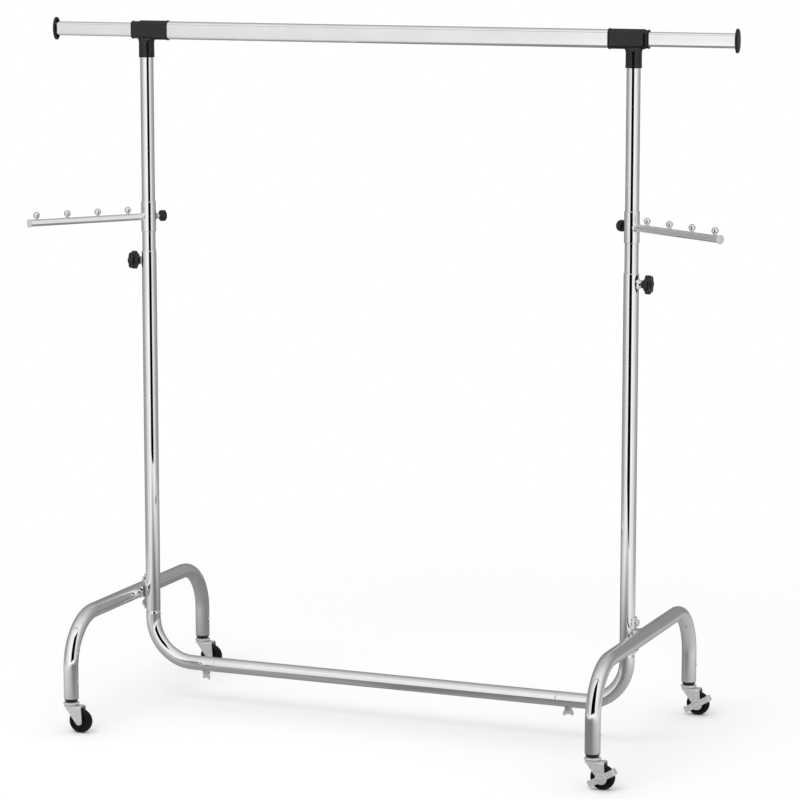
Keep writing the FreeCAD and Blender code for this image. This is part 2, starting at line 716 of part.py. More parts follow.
def arm_tube(side):
    """The round arm, made along +X and coped to the collar that it is welded to."""
    radius = arm_tube_od / 2
    start, end = V(tube_r - 4, 0, 0), V(arm_length, 0, 0)
    arm = ring(radius, radius - arm_tube_wall, start, end)
    bead = cone(radius + 1.8, radius, V(tube_r - 3.2, 0, 0), V(tube_r + 1.8, 0, 0))
    bead = bead.cut(rod(radius - arm_tube_wall, start, end))
    collar = rod(tube_r, V(0, 0, -collar_length / 2), V(0, 0, collar_length / 2))
    arm = arm.fuse(bead).cut(collar)
    for number in range(peg_count):
        reach = peg_first + number * peg_pitch
        arm = arm.cut(rod(peg_neck_radius + fit_gap, V(reach, 0, 0), V(reach, 0, arm_tube_od)))
    z = ARM_HEIGHT[side]
    heading = arm_point(side, 1, z).sub(arm_point(side, 0, z))
    return set_along(arm.removeSplitter(), arm_point(side, 0, z), heading)


def arm_peg(side, number):
    z = ARM_HEIGHT[side]
    reach = peg_first + number * peg_pitch
    ball = Part.makeSphere(peg_ball_radius, arm_point(side, reach, z + peg_rise))
    neck = rod(peg_neck_radius, arm_point(side, reach, z + arm_tube_od / 2 - 3),
               arm_point(side, reach, z + peg_rise))
    root = cone(peg_neck_radius + 1.2, peg_neck_radius,
                arm_point(side, reach, z + arm_tube_od / 2 - 0.6),
                arm_point(side, reach, z + arm_tube_od / 2 + 1.2))
    root = root.cut(rod(arm_tube_od / 2, arm_point(side, 0, z), arm_point(side, arm_length, z)))
    return ball.fuse(neck).fuse(root).removeSplitter()


def arm_cap(side):
    z = ARM_HEIGHT[side]
    disc = rod(arm_cap_radius, arm_point(side, arm_length, z),
               arm_point(side, arm_length + arm_cap_thickness, z))
    rim = [e for e in disc.Edges if e.Closed]
    disc = disc.makeFillet(1.2, rim)
    plug = rod(arm_tube_od / 2 - arm_tube_wall - fit_gap,
               arm_point(side, arm_length - arm_cap_plug, z), arm_point(side, arm_length + 1.5, z))
    return disc.fuse(plug).removeSplitter()


# ---------------------------------------------------------------- knobs
def lobed_disc(radius, lobes, depth, thickness):
    """A disc along +X whose rim has round flutes cut into it."""
    disc = Part.makeCylinder(radius, thickness, V(0, 0, 0), X)
    rims = [e for e in disc.Edges if e.Closed]
    disc = disc.makeFillet(min(2.2, thickness / 4), rims)
    flute = radius * math.sin(math.pi / lobes) * 0.78
    away = radius + flute - depth
    for number in range(lobes):
        turn = 2 * math.pi * (number + 0.5) / lobes
        start = V(-1, away * math.cos(turn), away * math.sin(turn))
        disc = disc.cut(rod(flute, start, start.add(V(thickness + 2, 0, 0))))
    return disc


def height_knob(side):
    """The star knob: a hub that meets the boss, the lobed disc and a raised middle."""
    head = lobed_disc(star_radius, star_lobes, star_flute, star_thickness)
    middle = cone(9.0, 8.0, V(star_thickness - 1, 0, 0), V(star_thickness + 2.2, 0, 0))
    hub = cone(star_hub_radius, star_hub_radius + 1, V(-star_hub_length, 0, 0), V(1, 0, 0))
    bore = rod(screw_radius + 0.02, V(-star_hub_length - 1, 0, 0), V(screw_grip, 0, 0))
    head = head.fuse(middle).fuse(hub).cut(bore)
    start = tube_r + boss_length + face_gap + star_hub_length
    return set_along(head, at_side(side, start, 0, height_knob_z), V(SIDES[side], 0, 0))


def height_screw(side):
    tip = liner_outer + 0.1
    end = tube_r + boss_length + face_gap + star_hub_length + screw_grip
    return rod(screw_radius, at_side(side, tip, 0, height_knob_z),
               at_side(side, end, 0, height_knob_z))


def arm_knob(side):
    z = ARM_HEIGHT[side]
    head = lobed_disc(arm_knob_radius, arm_knob_lobes, 0.9, arm_knob_thickness)
    head = head.cut(rod(arm_screw_radius + 0.02, V(-1, 0, 0), V(7, 0, 0)))
    place = arm_point(side, -(tube_r + arm_boss_length + face_gap), z)
    direction = arm_point(side, -1, z).sub(arm_point(side, 0, z))
    return set_along(head, place, direction)


def arm_screw(side):
    z = ARM_HEIGHT[side]
    tip = liner_outer + 0.1
    return rod(arm_screw_radius, arm_point(side, -tip, z),
               arm_point(side, -(tube_r + arm_boss_length + face_gap + 7), z))


# ---------------------------------------------------------------- all the pieces
write("base_rail", base_rail())
write("main_bar", main_bar())
for side in SIDES:
    write(side + "_leg_hoop", leg_hoop(side))
    write(side + "_leg_bracket", leg_bracket(side))
    write(side + "_base_elbow", base_elbow(side))
    write(side + "_lower_upright", lower_upright(side))
    write(side + "_guide_bush", guide_bush(side))
    write(side + "_wing_bolt", wing_bolt(side))
    write(side + "_post", post(side))
    write(side + "_tee", tee(side))
    write(side + "_extension_bar", extension_bar(side))
    write(side + "_end_cap", end_cap(side))
    write(side + "_arm_liner", arm_liner(side))
    write(side + "_arm_collar", arm_collar(side))
    write(side + "_arm_tube", arm_tube(side))
    write(side + "_arm_pegs", group([arm_peg(side, number) for number in range(peg_count)]))
    write(side + "_arm_cap", arm_cap(side))
    write(side + "_height_knob", height_knob(side))
    write(side + "_height_screw", height_screw(side))
    write(side + "_arm_knob", arm_knob(side))
    write(side + "_arm_screw", arm_screw(side))
write("bracket_bolts", group([bracket_bolt(side, z) for side in SIDES for z in bolt_heights()]))
write("bracket_nuts", group([bracket_nut(side, z) for side in SIDES for z in bolt_heights()]))
write("tee_screws", group([tee_screw(side) for side in SIDES]))
write("caster_sockets", group([caster_socket(name) for name in CASTERS]))
write("caster_stems", group([caster_stem(name) for name in CASTERS]))
write("socket_rivets", group([socket_rivet(name) for name in CASTERS]))
for name in CASTERS:
    write(name + "_fork", caster_fork(name))
    write(name + "_axle", caster_axle(name))
    write(name + "_wheel", caster_wheel(name))
    if has_lever(name):
        write(name + "_brake_lever", brake_lever(name))
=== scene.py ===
"""Looks of the rolling clothes rack: detailed meshes, finishes, light and camera.

Metres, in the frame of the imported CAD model: +X along the top bar, -Y to the front, +Z up.
"""
import json
import math

import bmesh
import bpy
from mathutils import Matrix, Vector


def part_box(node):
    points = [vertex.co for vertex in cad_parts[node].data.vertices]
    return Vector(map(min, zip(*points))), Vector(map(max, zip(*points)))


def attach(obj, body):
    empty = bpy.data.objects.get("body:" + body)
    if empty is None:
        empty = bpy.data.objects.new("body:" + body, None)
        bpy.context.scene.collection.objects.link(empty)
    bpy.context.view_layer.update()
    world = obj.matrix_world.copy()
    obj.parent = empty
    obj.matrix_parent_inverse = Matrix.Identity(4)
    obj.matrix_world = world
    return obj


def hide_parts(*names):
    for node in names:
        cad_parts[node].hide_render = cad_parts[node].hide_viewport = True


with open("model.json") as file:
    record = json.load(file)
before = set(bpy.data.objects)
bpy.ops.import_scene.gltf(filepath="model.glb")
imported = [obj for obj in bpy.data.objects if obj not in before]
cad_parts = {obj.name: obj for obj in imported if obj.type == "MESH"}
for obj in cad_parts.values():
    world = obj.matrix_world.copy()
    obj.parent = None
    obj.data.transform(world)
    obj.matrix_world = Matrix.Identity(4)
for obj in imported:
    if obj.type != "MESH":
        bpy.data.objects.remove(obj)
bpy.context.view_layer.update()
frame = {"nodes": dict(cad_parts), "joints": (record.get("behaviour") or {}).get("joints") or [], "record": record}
scene = bpy.context.scene
NODES = frame["nodes"]
BODY_OF = {n: b for b, ns in frame["record"]["behaviour"]["bodies"].items() for n in ns}
SLOT_OF = {s["node"]: s["material_slot"] for s in frame["record"]["subparts"]}
SIDES = {"left": -1, "right": 1}
CASTERS = ("front_left", "rear_left", "front_right", "rear_right")
UP = Vector((0, 0, 1))

# ------------------------------------------------------------------ camera
VIEW_AZIMUTH = math.radians(22.3)
VIEW_ELEVATION = math.radians(9.0)
VIEW_DISTANCE = 6.866
VIEW_AIM = Vector((0.0386, 0.0, 0.702))
LENS = 146.6
TO_CAMERA = Vector((math.sin(VIEW_AZIMUTH), -math.cos(VIEW_AZIMUTH), 0))
TO_RIGHT = Vector((math.cos(VIEW_AZIMUTH), math.sin(VIEW_AZIMUTH), 0))

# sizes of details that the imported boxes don't give
HOOP_BEND = 0.105
ELBOW_BEND = 0.095
TUBE_WALL = 0.0012
SWAGE_SHOULDER = 0.006
SWAGE_RADIUS = 0.01475
WELD_NUT_RADIUS = 0.008
WELD_NUT_HEIGHT = 0.0065
BOSS_ROOT = 0.0095
BOSS_TIP = 0.0074
BOSS_LENGTH = 0.0070
STAR_HUB_LENGTH = 0.0076
ARM_BOSS_ROOT = 0.0064
ARM_BOSS_TIP = 0.0048
ARM_BOSS_LENGTH = 0.0116
TUBE_SEGMENTS = 96
BRACE_SPAN = 0.006
BRACE_INSET = 0.0009


def make_camera():
    data = bpy.data.cameras.new("camera")
    data.lens = LENS
    data.sensor_width = 36.0
    data.clip_end = 60.0
    camera = bpy.data.objects.new("camera", data)
    scene.collection.objects.link(camera)
    level = math.cos(VIEW_ELEVATION)
    outward = TO_CAMERA * level + UP * math.sin(VIEW_ELEVATION)
    camera.location = VIEW_AIM + outward * VIEW_DISTANCE
    camera.rotation_euler = (-outward).to_track_quat("-Z", "Y").to_euler()
    scene.camera = camera


# ------------------------------------------------------------------ node helpers
def new_material(name):
    material = bpy.data.materials.new(name)
    material.use_nodes = True
    tree = material.node_tree
    return material, tree, tree.nodes["Principled BSDF"]


def add_node(tree, kind, **inputs):
    node = tree.nodes.new(kind)
    for key, value in inputs.items():
        node.inputs[key.replace("_", " ")].default_value = value
    return node


def noise(tree, scale, detail=3.0, stretch=None):
    """A noise in object space, which is the same on every piece at the same scale."""
    place = tree.nodes.new("ShaderNodeTexCoord")
    texture = add_node(tree, "ShaderNodeTexNoise", Scale=scale, Detail=detail)
    source = place.outputs["Object"]
    if stretch:
        mapping = add_node(tree, "ShaderNodeMapping", Scale=stretch)
        tree.links.new(source, mapping.inputs["Vector"])
        source = mapping.outputs["Vector"]
    tree.links.new(source, texture.inputs["Vector"])
    return texture.outputs["Fac"]


def remap(tree, source, low, high, from_low=0.3, from_high=0.7):
    node = add_node(tree, "ShaderNodeMapRange", From_Min=from_low, From_Max=from_high,
                    To_Min=low, To_Max=high)
    tree.links.new(source, node.inputs["Value"])
    return node.outputs["Result"]


def blend_colours(tree, source, dark, light, from_low=0.35, from_high=0.65):
    ramp = tree.nodes.new("ShaderNodeValToRGB")
    ramp.color_ramp.elements[0].position = from_low
    ramp.color_ramp.elements[0].color = (*dark, 1)
    ramp.color_ramp.elements[1].position = from_high
    ramp.color_ramp.elements[1].color = (*light, 1)
    tree.links.new(source, ramp.inputs["Fac"])
    return ramp.outputs["Color"]


def add_bump(tree, shader, source, strength, distance):
    bump = add_node(tree, "ShaderNodeBump", Strength=strength, Distance=distance)
    tree.links.new(source, bump.inputs["Height"])
    tree.links.new(bump.outputs["Normal"], shader.inputs["Normal"])


# ------------------------------------------------------------------ finishes
def chrome_finish():
    """Bright chrome plate: faint haze, the plate's slight waviness and fine polishing."""
    material, tree, shader = new_material("chrome_plate")
    shader.inputs["Metallic"].default_value = 1.0
    haze = noise(tree, 9.0, 4.0)
    tree.links.new(blend_colours(tree, haze, (0.875, 0.88, 0.89), (0.93, 0.932, 0.935)),
                   shader.inputs["Base Color"])
    polish = noise(tree, 160.0, 3.0)
    tree.links.new(remap(tree, polish, 0.015, 0.035), shader.inputs["Roughness"])
    add_bump(tree, shader, noise(tree, 40.0, 2.0), 0.012, 0.0004)
    return material


def small_chrome_finish():
    """Chrome over stamped or turned pieces, a little softer than on the tubes."""
    material, tree, shader = new_material("chrome_small")
    shader.inputs["Metallic"].default_value = 1.0
    haze = noise(tree, 60.0, 4.0)
    tree.links.new(blend_colours(tree, haze, (0.86, 0.865, 0.875), (0.92, 0.922, 0.925)),
                   shader.inputs["Base Color"])
    tree.links.new(remap(tree, noise(tree, 240.0), 0.03, 0.07), shader.inputs["Roughness"])
    add_bump(tree, shader, noise(tree, 180.0, 2.0), 0.04, 0.0003)
    return material


def zinc_finish():
    """Bright zinc plate on stamped steel: soft sheen, faint blotches, fine press grain."""
    material, tree, shader = new_material("zinc_plate")
    shader.inputs["Metallic"].default_value = 0.5
    blotch = noise(tree, 120.0, 5.0)
    tree.links.new(blend_colours(tree, blotch, (0.62, 0.63, 0.65), (0.70, 0.71, 0.72)),
                   shader.inputs["Base Color"])
    grain = noise(tree, 700.0, 3.0, (1.0, 1.0, 0.25))
    tree.links.new(remap(tree, grain, 0.24, 0.40), shader.inputs["Roughness"])
    add_bump(tree, shader, grain, 0.12, 0.0002)
    return material


def black_plastic_finish():
    """Injection-moulded black plastic with a fine spark-eroded grain."""
    material, tree, shader = new_material("black_moulding")
    tone = noise(tree, 30.0, 4.0)
    tree.links.new(blend_colours(tree, tone, (0.0030, 0.0030, 0.0034), (0.0065, 0.0065, 0.0070)),
                   shader.inputs["Base Color"])
    shader.inputs["Specular IOR Level"].default_value = 0.5
    grain = noise(tree, 1500.0, 2.0)
    tree.links.new(remap(tree, grain, 0.16, 0.26), shader.inputs["Roughness"])
    add_bump(tree, shader, grain, 0.08, 0.0002)
    return material


def wheel_finish():
    """Black wheel: duller than the mouldings, with rolled-on scuffs on the tread."""
    material, tree, shader = new_material("wheel_black")
    scuff = noise(tree, 260.0, 6.0)
    tree.links.new(blend_colours(tree, scuff, (0.003, 0.003, 0.003), (0.009, 0.009, 0.009),
                                 0.45, 0.75), shader.inputs["Base Color"])
    shader.inputs["Specular IOR Level"].default_value = 0.2
    tree.links.new(remap(tree, scuff, 0.38, 0.60), shader.inputs["Roughness"])
    add_bump(tree, shader, scuff, 0.2, 0.0003)
    return material


def grey_plastic_finish():
    material, tree, shader = new_material("grey_cap")
    tone = noise(tree, 90.0, 4.0)
    tree.links.new(blend_colours(tree, tone, (0.50, 0.50, 0.51), (0.60, 0.60, 0.61)),
                   shader.inputs["Base Color"])
    grain = noise(tree, 1500.0, 2.0)
    tree.links.new(remap(tree, grain, 0.30, 0.45), shader.inputs["Roughness"])
    add_bump(tree, shader, grain, 0.15, 0.0002)
    return material


def nylon_finish():
    material, tree, shader = new_material("natural_nylon")
    tone = noise(tree, 80.0, 3.0)
    tree.links.new(blend_colours(tree, tone, (0.66, 0.65, 0.60), (0.76, 0.75, 0.71)),
                   shader.inputs["Base Color"])
    shader.inputs["Subsurface Weight"].default_value = 0.05
    tree.links.new(remap(tree, noise(tree, 900.0), 0.40, 0.55), shader.inputs["Roughness"])
    return material


FINISHES = {
    "chromed_tube": chrome_finish(),
    "chromed_small": small_chrome_finish(),
    "zinc_steel": zinc_finish(),
    "black_moulding": black_plastic_finish(),
    "wheel_black": wheel_finish(),
    "grey_cap": grey_plastic_finish(),
    "nylon": nylon_finish(),
}


# ------------------------------------------------------------------ mesh helpers
def add_mesh(name, verts, faces, sharp=32.0):
    mesh = bpy.data.meshes.new(name)
    mesh.from_pydata([tuple(v) for v in verts], [], faces)
    mesh.validate()
    shape = bmesh.new()
    shape.from_mesh(mesh)
    bmesh.ops.remove_doubles(shape, verts=shape.verts, dist=1e-7)
    bmesh.ops.recalc_face_normals(shape, faces=shape.faces)
    shape.to_mesh(mesh)
    shape.free()
    mesh.shade_smooth()
    mesh.set_sharp_from_angle(angle=math.radians(sharp))
    piece = bpy.data.objects.new(name, mesh)
    scene.collection.objects.link(piece)
    return piece


def join(name, pieces):
    """Joins meshes into one object, without operators."""
    shape = bmesh.new()
    for piece in pieces:
        piece.data.transform(piece.matrix_world)
        shape.from_mesh(piece.data)
    mesh = bpy.data.meshes.new(name)
    shape.to_mesh(mesh)
    shape.free()
    for piece in pieces:
        bpy.data.objects.remove(piece)
    mesh.set_sharp_from_angle(angle=math.radians(32.0))
    joined = bpy.data.objects.new(name, mesh)
    scene.collection.objects.link(joined)
    return joined


def stand_for(piece, *nodes, replace=True):
    """Gives a piece the finish, the body and the slot of the CAD nodes it stands for."""
    piece.data.materials.clear()
    piece.data.materials.append(FINISHES[SLOT_OF[nodes[0]]])
    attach(piece, BODY_OF[nodes[0]])
    if replace:
        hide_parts(*nodes)
    return piece


def soften(points, radius, steps=4):
    """A copy of an open outline of (a, b) points with each inner corner rounded."""
    out = [points[0]]
    for before, corner, after in zip(points, points[1:], points[2:]):
        p, c, n = Vector(before), Vector(corner), Vector(after)
        cut = min(radius, (p - c).length * 0.45, (n - c).length * 0.45)
        first = c + (p - c).normalized() * cut
        last = c + (n - c).normalized() * cut
        for step in range(steps + 1):
            t = step / steps
            out.append(tuple(first * (1 - t) ** 2 + c * 2 * t * (1 - t) + last * t ** 2))
    out.append(points[-1])
    return out


def brace(rows, spot):
    """Adds rows close to both ends of each long straight run, so that its shading stays flat."""
    out = [rows[0]]
    for a, b in zip(rows, rows[1:]):
        length = (Vector(spot(b)) - Vector(spot(a))).length
        if length > BRACE_SPAN:
            for share in (BRACE_INSET / length, 1 - BRACE_INSET / length):
                out.append(tuple(p + (q - p) * share for p, q in zip(a, b)))
        out.append(b)
    return out


def axes_about(direction):
    along = Vector(direction).normalized()
    side = UP if abs(along.z) < 0.9 else Vector((1, 0, 0))
    first = side.cross(along).normalized()
    return along, first, along.cross(first)


def lathe(name, outline, origin, direction, segments=64, sharp=32.0):
    """Turns an outline of (radius, height) points about an axis."""
    along, first, second = axes_about(direction)
    origin = Vector(origin)
    verts, rings = [], []
    for radius, height in brace(outline, lambda row: row):
        centre = origin + along * height
        if radius < 1e-6:
            rings.append([len(verts)])
            verts.append(centre)
            continue
        rings.append([len(verts) + k for k in range(segments)])
        for k in range(segments):
            turn = 2 * math.pi * k / segments
            verts.append(centre + first * (radius * math.cos(turn))
                         + second * (radius * math.sin(turn)))
    return add_mesh(name, verts, skin(rings), sharp)


def skin(rings, closed=False):
    """Quads between neighbouring rings of vertex numbers; a ring of one is a pole."""
    faces = []
    pairs = list(zip(rings, rings[1:]))
    if closed:
        pairs.append((rings[-1], rings[0]))
    for a, b in pairs:
        count = max(len(a), len(b))
        for k in range(count):
            m = (k + 1) % count
            if len(a) == 1:
                faces.append((a[0], b[m], b[k]))
            elif len(b) == 1:
                faces.append((a[k], a[m], b[0]))
            else:
                faces.append((a[k], a[m], b[m], b[k]))
    return faces


def bent_path(corners, bend, turn_step=3.0):
    """Stations (point, tangent) along straight runs joined by arcs at the inner corners."""
    stations = [(corners[0], (corners[1] - corners[0]).normalized())]
    for before, corner, after in zip(corners, corners[1:], corners[2:]):
        into = (corner - before).normalized()
        out = (after - corner).normalized()
        turn = into.angle(out)
        first = corner - into * (bend * math.tan(turn / 2))
        inward = (out - into * into.dot(out)).normalized()
        centre = first + inward * bend
        steps = max(4, int(math.degrees(turn) / turn_step))
        for step in range(steps + 1):
            angle = turn * step / steps
            spoke = -inward * math.cos(angle) + into * math.sin(angle)
            tangent = into * math.cos(angle) + inward * math.sin(angle)
            stations.append((centre + spoke * bend, tangent))
    stations.append((corners[-1], (corners[-1] - corners[-2]).normalized()))
    return stations


def sweep(name, stations, binormal, segments=TUBE_SEGMENTS, sharp=32.0):
    """Skins circles along (point, tangent, radius) stations that lie in one plane."""
    verts, rings = [], []
    for point, tangent, radius in brace(stations, lambda row: row[0]):
        normal = tangent.cross(binormal).normalized()
        rings.append([len(verts) + k for k in range(segments)])
        for k in range(segments):
            turn = 2 * math.pi * k / segments
            verts.append(point + normal * (radius * math.cos(turn))
                         + binormal * (radius * math.sin(turn)))
    return add_mesh(name, verts, skin(rings), sharp)


def tube_end(point, tangent, radius, wall, outward, depth=0.012):
    """Stations for a cut tube end: a broken edge, the wall's thickness, the bore."""
    edge = 0.0005
    return [(point - outward * edge, tangent, radius),
            (point - outward * edge * 0.3, tangent, radius - edge * 0.3),
            (point, tangent, radius - edge),
            (point, tangent, radius - wall),
            (point - outward * depth, tangent, radius - wall)]


def oval_ring(height, width, corner, steps=7):
    """Points (y, z) round a rounded rectangle."""
    points = []
    for cy, cz, start in ((1, 1, 0), (-1, 1, 90), (-1, -1, 180), (1, -1, 270)):
        for step in range(steps + 1):
            turn = math.radians(start + 90 * step / steps)
            points.append((cy * (width / 2 - corner) + corner * math.cos(turn),
                           cz * (height / 2 - corner) + corner * math.sin(turn)))
    return points


def loft_x(name, stations, z, sharp=32.0, caps=(True, True)):
    """Skins rounded rectangles along X. Stations are (x, height, width, corner)."""
    verts, rings = [], []
    for x, height, width, corner in brace(stations, lambda row: (row[0], 0, 0)):
        ring = oval_ring(height, width, corner)
        rings.append([len(verts) + k for k in range(len(ring))])
        verts.extend(Vector((x, y, z + h)) for y, h in ring)
    faces = skin(rings)
    if caps[0]:
        faces.append(tuple(reversed(rings[0])))
    if caps[1]:
        faces.append(tuple(rings[-1]))
    return add_mesh(name, verts, faces, sharp)


def hex_prism(name, across, origin, direction, height, dome=0.0008):
    """A hexagon head with a chamfered crown."""
    along, first, second = axes_about(direction)
    radius = across / math.sqrt(3)
    levels = [(radius, 0.0), (radius, height - dome), (radius * 0.90, height), (0.0, height)]
    verts, rings = [], []
    for size, level in levels:
        centre = Vector(origin) + along * level
        if size == 0.0:
            rings.append([len(verts)])
            verts.append(centre)
            continue
        rings.append([len(verts) + k for k in range(6)])
        for k in range(6):
            turn = math.radians(60 * k)
            verts.append(centre + first * (size * math.cos(turn)) + second * (size * math.sin(turn)))
    faces = skin(rings)
    faces.append(tuple(reversed(rings[0])))
    return add_mesh(name, verts, faces, 20.0)


def centre_of(node):
    low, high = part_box(node)
    return (low + high) / 2


def size_of(node):
    low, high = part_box(node)
    return high - low


# ------------------------------------------------------------------ places read from the frame
POST = {side: centre_of(side + "_post") for side in SIDES}
TUBE_R = size_of("base_rail").y / 2
POST_R = size_of("left_post").y / 2
RAIL_Z = centre_of("base_rail").z
BAR_Z = centre_of("main_bar").z
POST_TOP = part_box("left_post")[1].z


def arm_heading(side):
    """The horizontal direction in which a peg arm points at rest."""
    reach = centre_of(side + "_arm_cap") - POST[side]
    return Vector((reach.x, reach.y, 0)).normalized()


# ------------------------------------------------------------------ bent and straight tubes
def tube_piece(name, corners, bend, binormal, radius, node):
    """A bent tube with cut ends, standing for one CAD node."""
    stations = [(p, t, radius) for p, t in bent_path(corners, bend)]
    first, last = stations[0], stations[-1]
    head = tube_end(first[0], first[1], radius, TUBE_WALL, -first[1])
    tail = tube_end(last[0], last[1], radius, TUBE_WALL, last[1])
    stations = list(reversed(head)) + stations[1:-1] + tail
    return stand_for(sweep(name, stations, binormal), node)


def make_hoop(side):
    low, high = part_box(side + "_leg_hoop")
    x = (low.x + high.x) / 2
    front, back, top = low.y + TUBE_R, high.y - TUBE_R, high.z - TUBE_R
    corners = [Vector((x, front, low.z)), Vector((x, front, top)),
               Vector((x, back, top)), Vector((x, back, low.z))]
    tube_piece(side + "_hoop_tube", corners, HOOP_BEND, Vector((1, 0, 0)), TUBE_R,
               side + "_leg_hoop")


def make_elbow(side):
    """The bent tube with its reduced upper end, and the weld nut under the rail's seam."""
    low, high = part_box(side + "_base_elbow")
    s = SIDES[side]
    x = POST[side].x
    seam = low.x if s > 0 else high.x
    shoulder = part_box(side + "_lower_upright")[0].z - SWAGE_SHOULDER
    corners = [Vector((x, 0, shoulder)), Vector((x, 0, RAIL_Z)), Vector((seam, 0, RAIL_Z))]
    path = [(p, t, TUBE_R) for p, t in bent_path(corners, ELBOW_BEND)]
    down = Vector((0, 0, -1))
    neck = [(Vector((x, 0, high.z)), down, SWAGE_RADIUS),
            (Vector((x, 0, shoulder + SWAGE_SHOULDER)), down, SWAGE_RADIUS),
            (Vector((x, 0, shoulder + SWAGE_SHOULDER * 0.7)), down, SWAGE_RADIUS + 0.0001),
            (Vector((x, 0, shoulder + SWAGE_SHOULDER * 0.35)), down, TUBE_R - 0.0004),
            (Vector((x, 0, shoulder + SWAGE_SHOULDER * 0.1)), down, TUBE_R)]
    end, heading, radius = path[-1]
    stations = neck + path[:-1] + tube_end(end, heading, radius, TUBE_WALL, heading)
    tube = sweep(side + "_elbow_tube", stations, Vector((0, 1, 0)))
    nut_x = centre_of(side + "_wing_bolt").x
    face = RAIL_Z - TUBE_R
    outline = soften([(WELD_NUT_RADIUS + 0.0016, -0.0025), (WELD_NUT_RADIUS + 0.0010, 0.0008),
                      (WELD_NUT_RADIUS, 0.0018), (WELD_NUT_RADIUS, WELD_NUT_HEIGHT),
                      (0.0032, WELD_NUT_HEIGHT), (0.0032, 0.001)], 0.0006)
    nut = lathe("weld_nut", outline, (nut_x, 0, face), (0, 0, -1), 40)
    stand_for(join(side + "_elbow", [tube, nut]), side + "_base_elbow")


def make_rail():
    low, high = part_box("base_rail")
    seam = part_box("right_base_elbow")[0].x - 0.00005
    along = Vector((1, 0, 0))
    half = [(0.0, TUBE_R), (seam - 0.0008, TUBE_R), (seam - 0.0002, TUBE_R - 0.0002),
            (seam, TUBE_R - 0.0008), (seam, SWAGE_RADIUS), (high.x, SWAGE_RADIUS)]
    stations = [(Vector((-x, 0, RAIL_Z)), along, r) for x, r in reversed(half[1:])]
    stations += [(Vector((x, 0, RAIL_Z)), along, r) for x, r in half]
    stand_for(sweep("base_rail_tube", stations, Vector((0, 1, 0))), "base_rail")


def make_lower_upright(side):
    """The outer tube with its top edge rolled in, and the welded boss of the lock knob."""
    low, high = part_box(side + "_lower_upright")
    axis = POST[side]
    outline = [(TUBE_R - TUBE_WALL, 0.012), (TUBE_R - TUBE_WALL, 0.0), (TUBE_R - 0.0004, 0.0),
               (TUBE_R, 0.0004), (TUBE_R, high.z - low.z - 0.0022),
               (TUBE_R - 0.0002, high.z - low.z - 0.0010),
               (TUBE_R - 0.0007, high.z - low.z - 0.0002),
               (TUBE_R - 0.0011, high.z - low.z), (POST_R + 0.0004, high.z - low.z),
               (POST_R + 0.0004, high.z - low.z - 0.02)]
    tube = lathe("tube", outline, (axis.x, 0, low.z), UP, TUBE_SEGMENTS)
    z = centre_of(side + "_height_knob").z
    boss = make_boss(BOSS_ROOT, BOSS_TIP, BOSS_LENGTH, Vector((axis.x, 0, z)),
                     Vector((SIDES[side], 0, 0)))
    stand_for(join(side + "_lower_tube", [tube, boss]), side + "_lower_upright")


def make_boss(root, tip, length, axis_point, heading):
    """A pressed conical boss with a weld fillet at its root and a rounded lip."""
    outline = soften([(root + 0.0024, -0.0032), (root + 0.0018, -0.0004), (root, 0.0016),
                      (tip + 0.0003, length - 0.0012), (tip, length), (tip * 0.55, length),
                      (tip * 0.55, length - 0.003)], 0.0009)
    return lathe("boss", outline, axis_point + heading * TUBE_R, heading, 48)


def make_post(side):
    low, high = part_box(side + "_post")
    length = high.z - low.z
    edge = 0.0005
    outline = [(POST_R - TUBE_WALL, 0.02), (POST_R - TUBE_WALL, 0), (POST_R - edge, 0),
               (POST_R, edge), (POST_R, length - edge), (POST_R - edge, length),
               (POST_R - TUBE_WALL, length), (POST_R - TUBE_WALL, length - 0.02)]
    origin = (POST[side].x, 0, low.z)
    stand_for(lathe(side + "_post_tube", outline, origin, UP, TUBE_SEGMENTS), side + "_post")


def make_bar(node, name):
    """An oval tube along X with its ends broken."""
    low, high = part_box(node)
    height, width = high.z - low.z, high.y - low.y
    corner = width / 2 - 0.0007
    edge = 0.0006
    wall = 0.0012
    stations = [(low.x + 0.02, height - 2 * wall, width - 2 * wall, corner - wall),
                (low.x, height - 2 * wall, width - 2 * wall, corner - wall),
                (low.x, height - 2 * edge, width - 2 * edge, corner - edge),
                (low.x + edge, height, width, corner), (high.x - edge, height, width, corner),
                (high.x, height - 2 * edge, width - 2 * edge, corner - edge),
                (high.x, height - 2 * wall, width - 2 * wall, corner - wall),
                (high.x - 0.02, height - 2 * wall, width - 2 * wall, corner - wall)]
    stand_for(loft_x(name, stations, (low.z + high.z) / 2, caps=(False, False)), node)


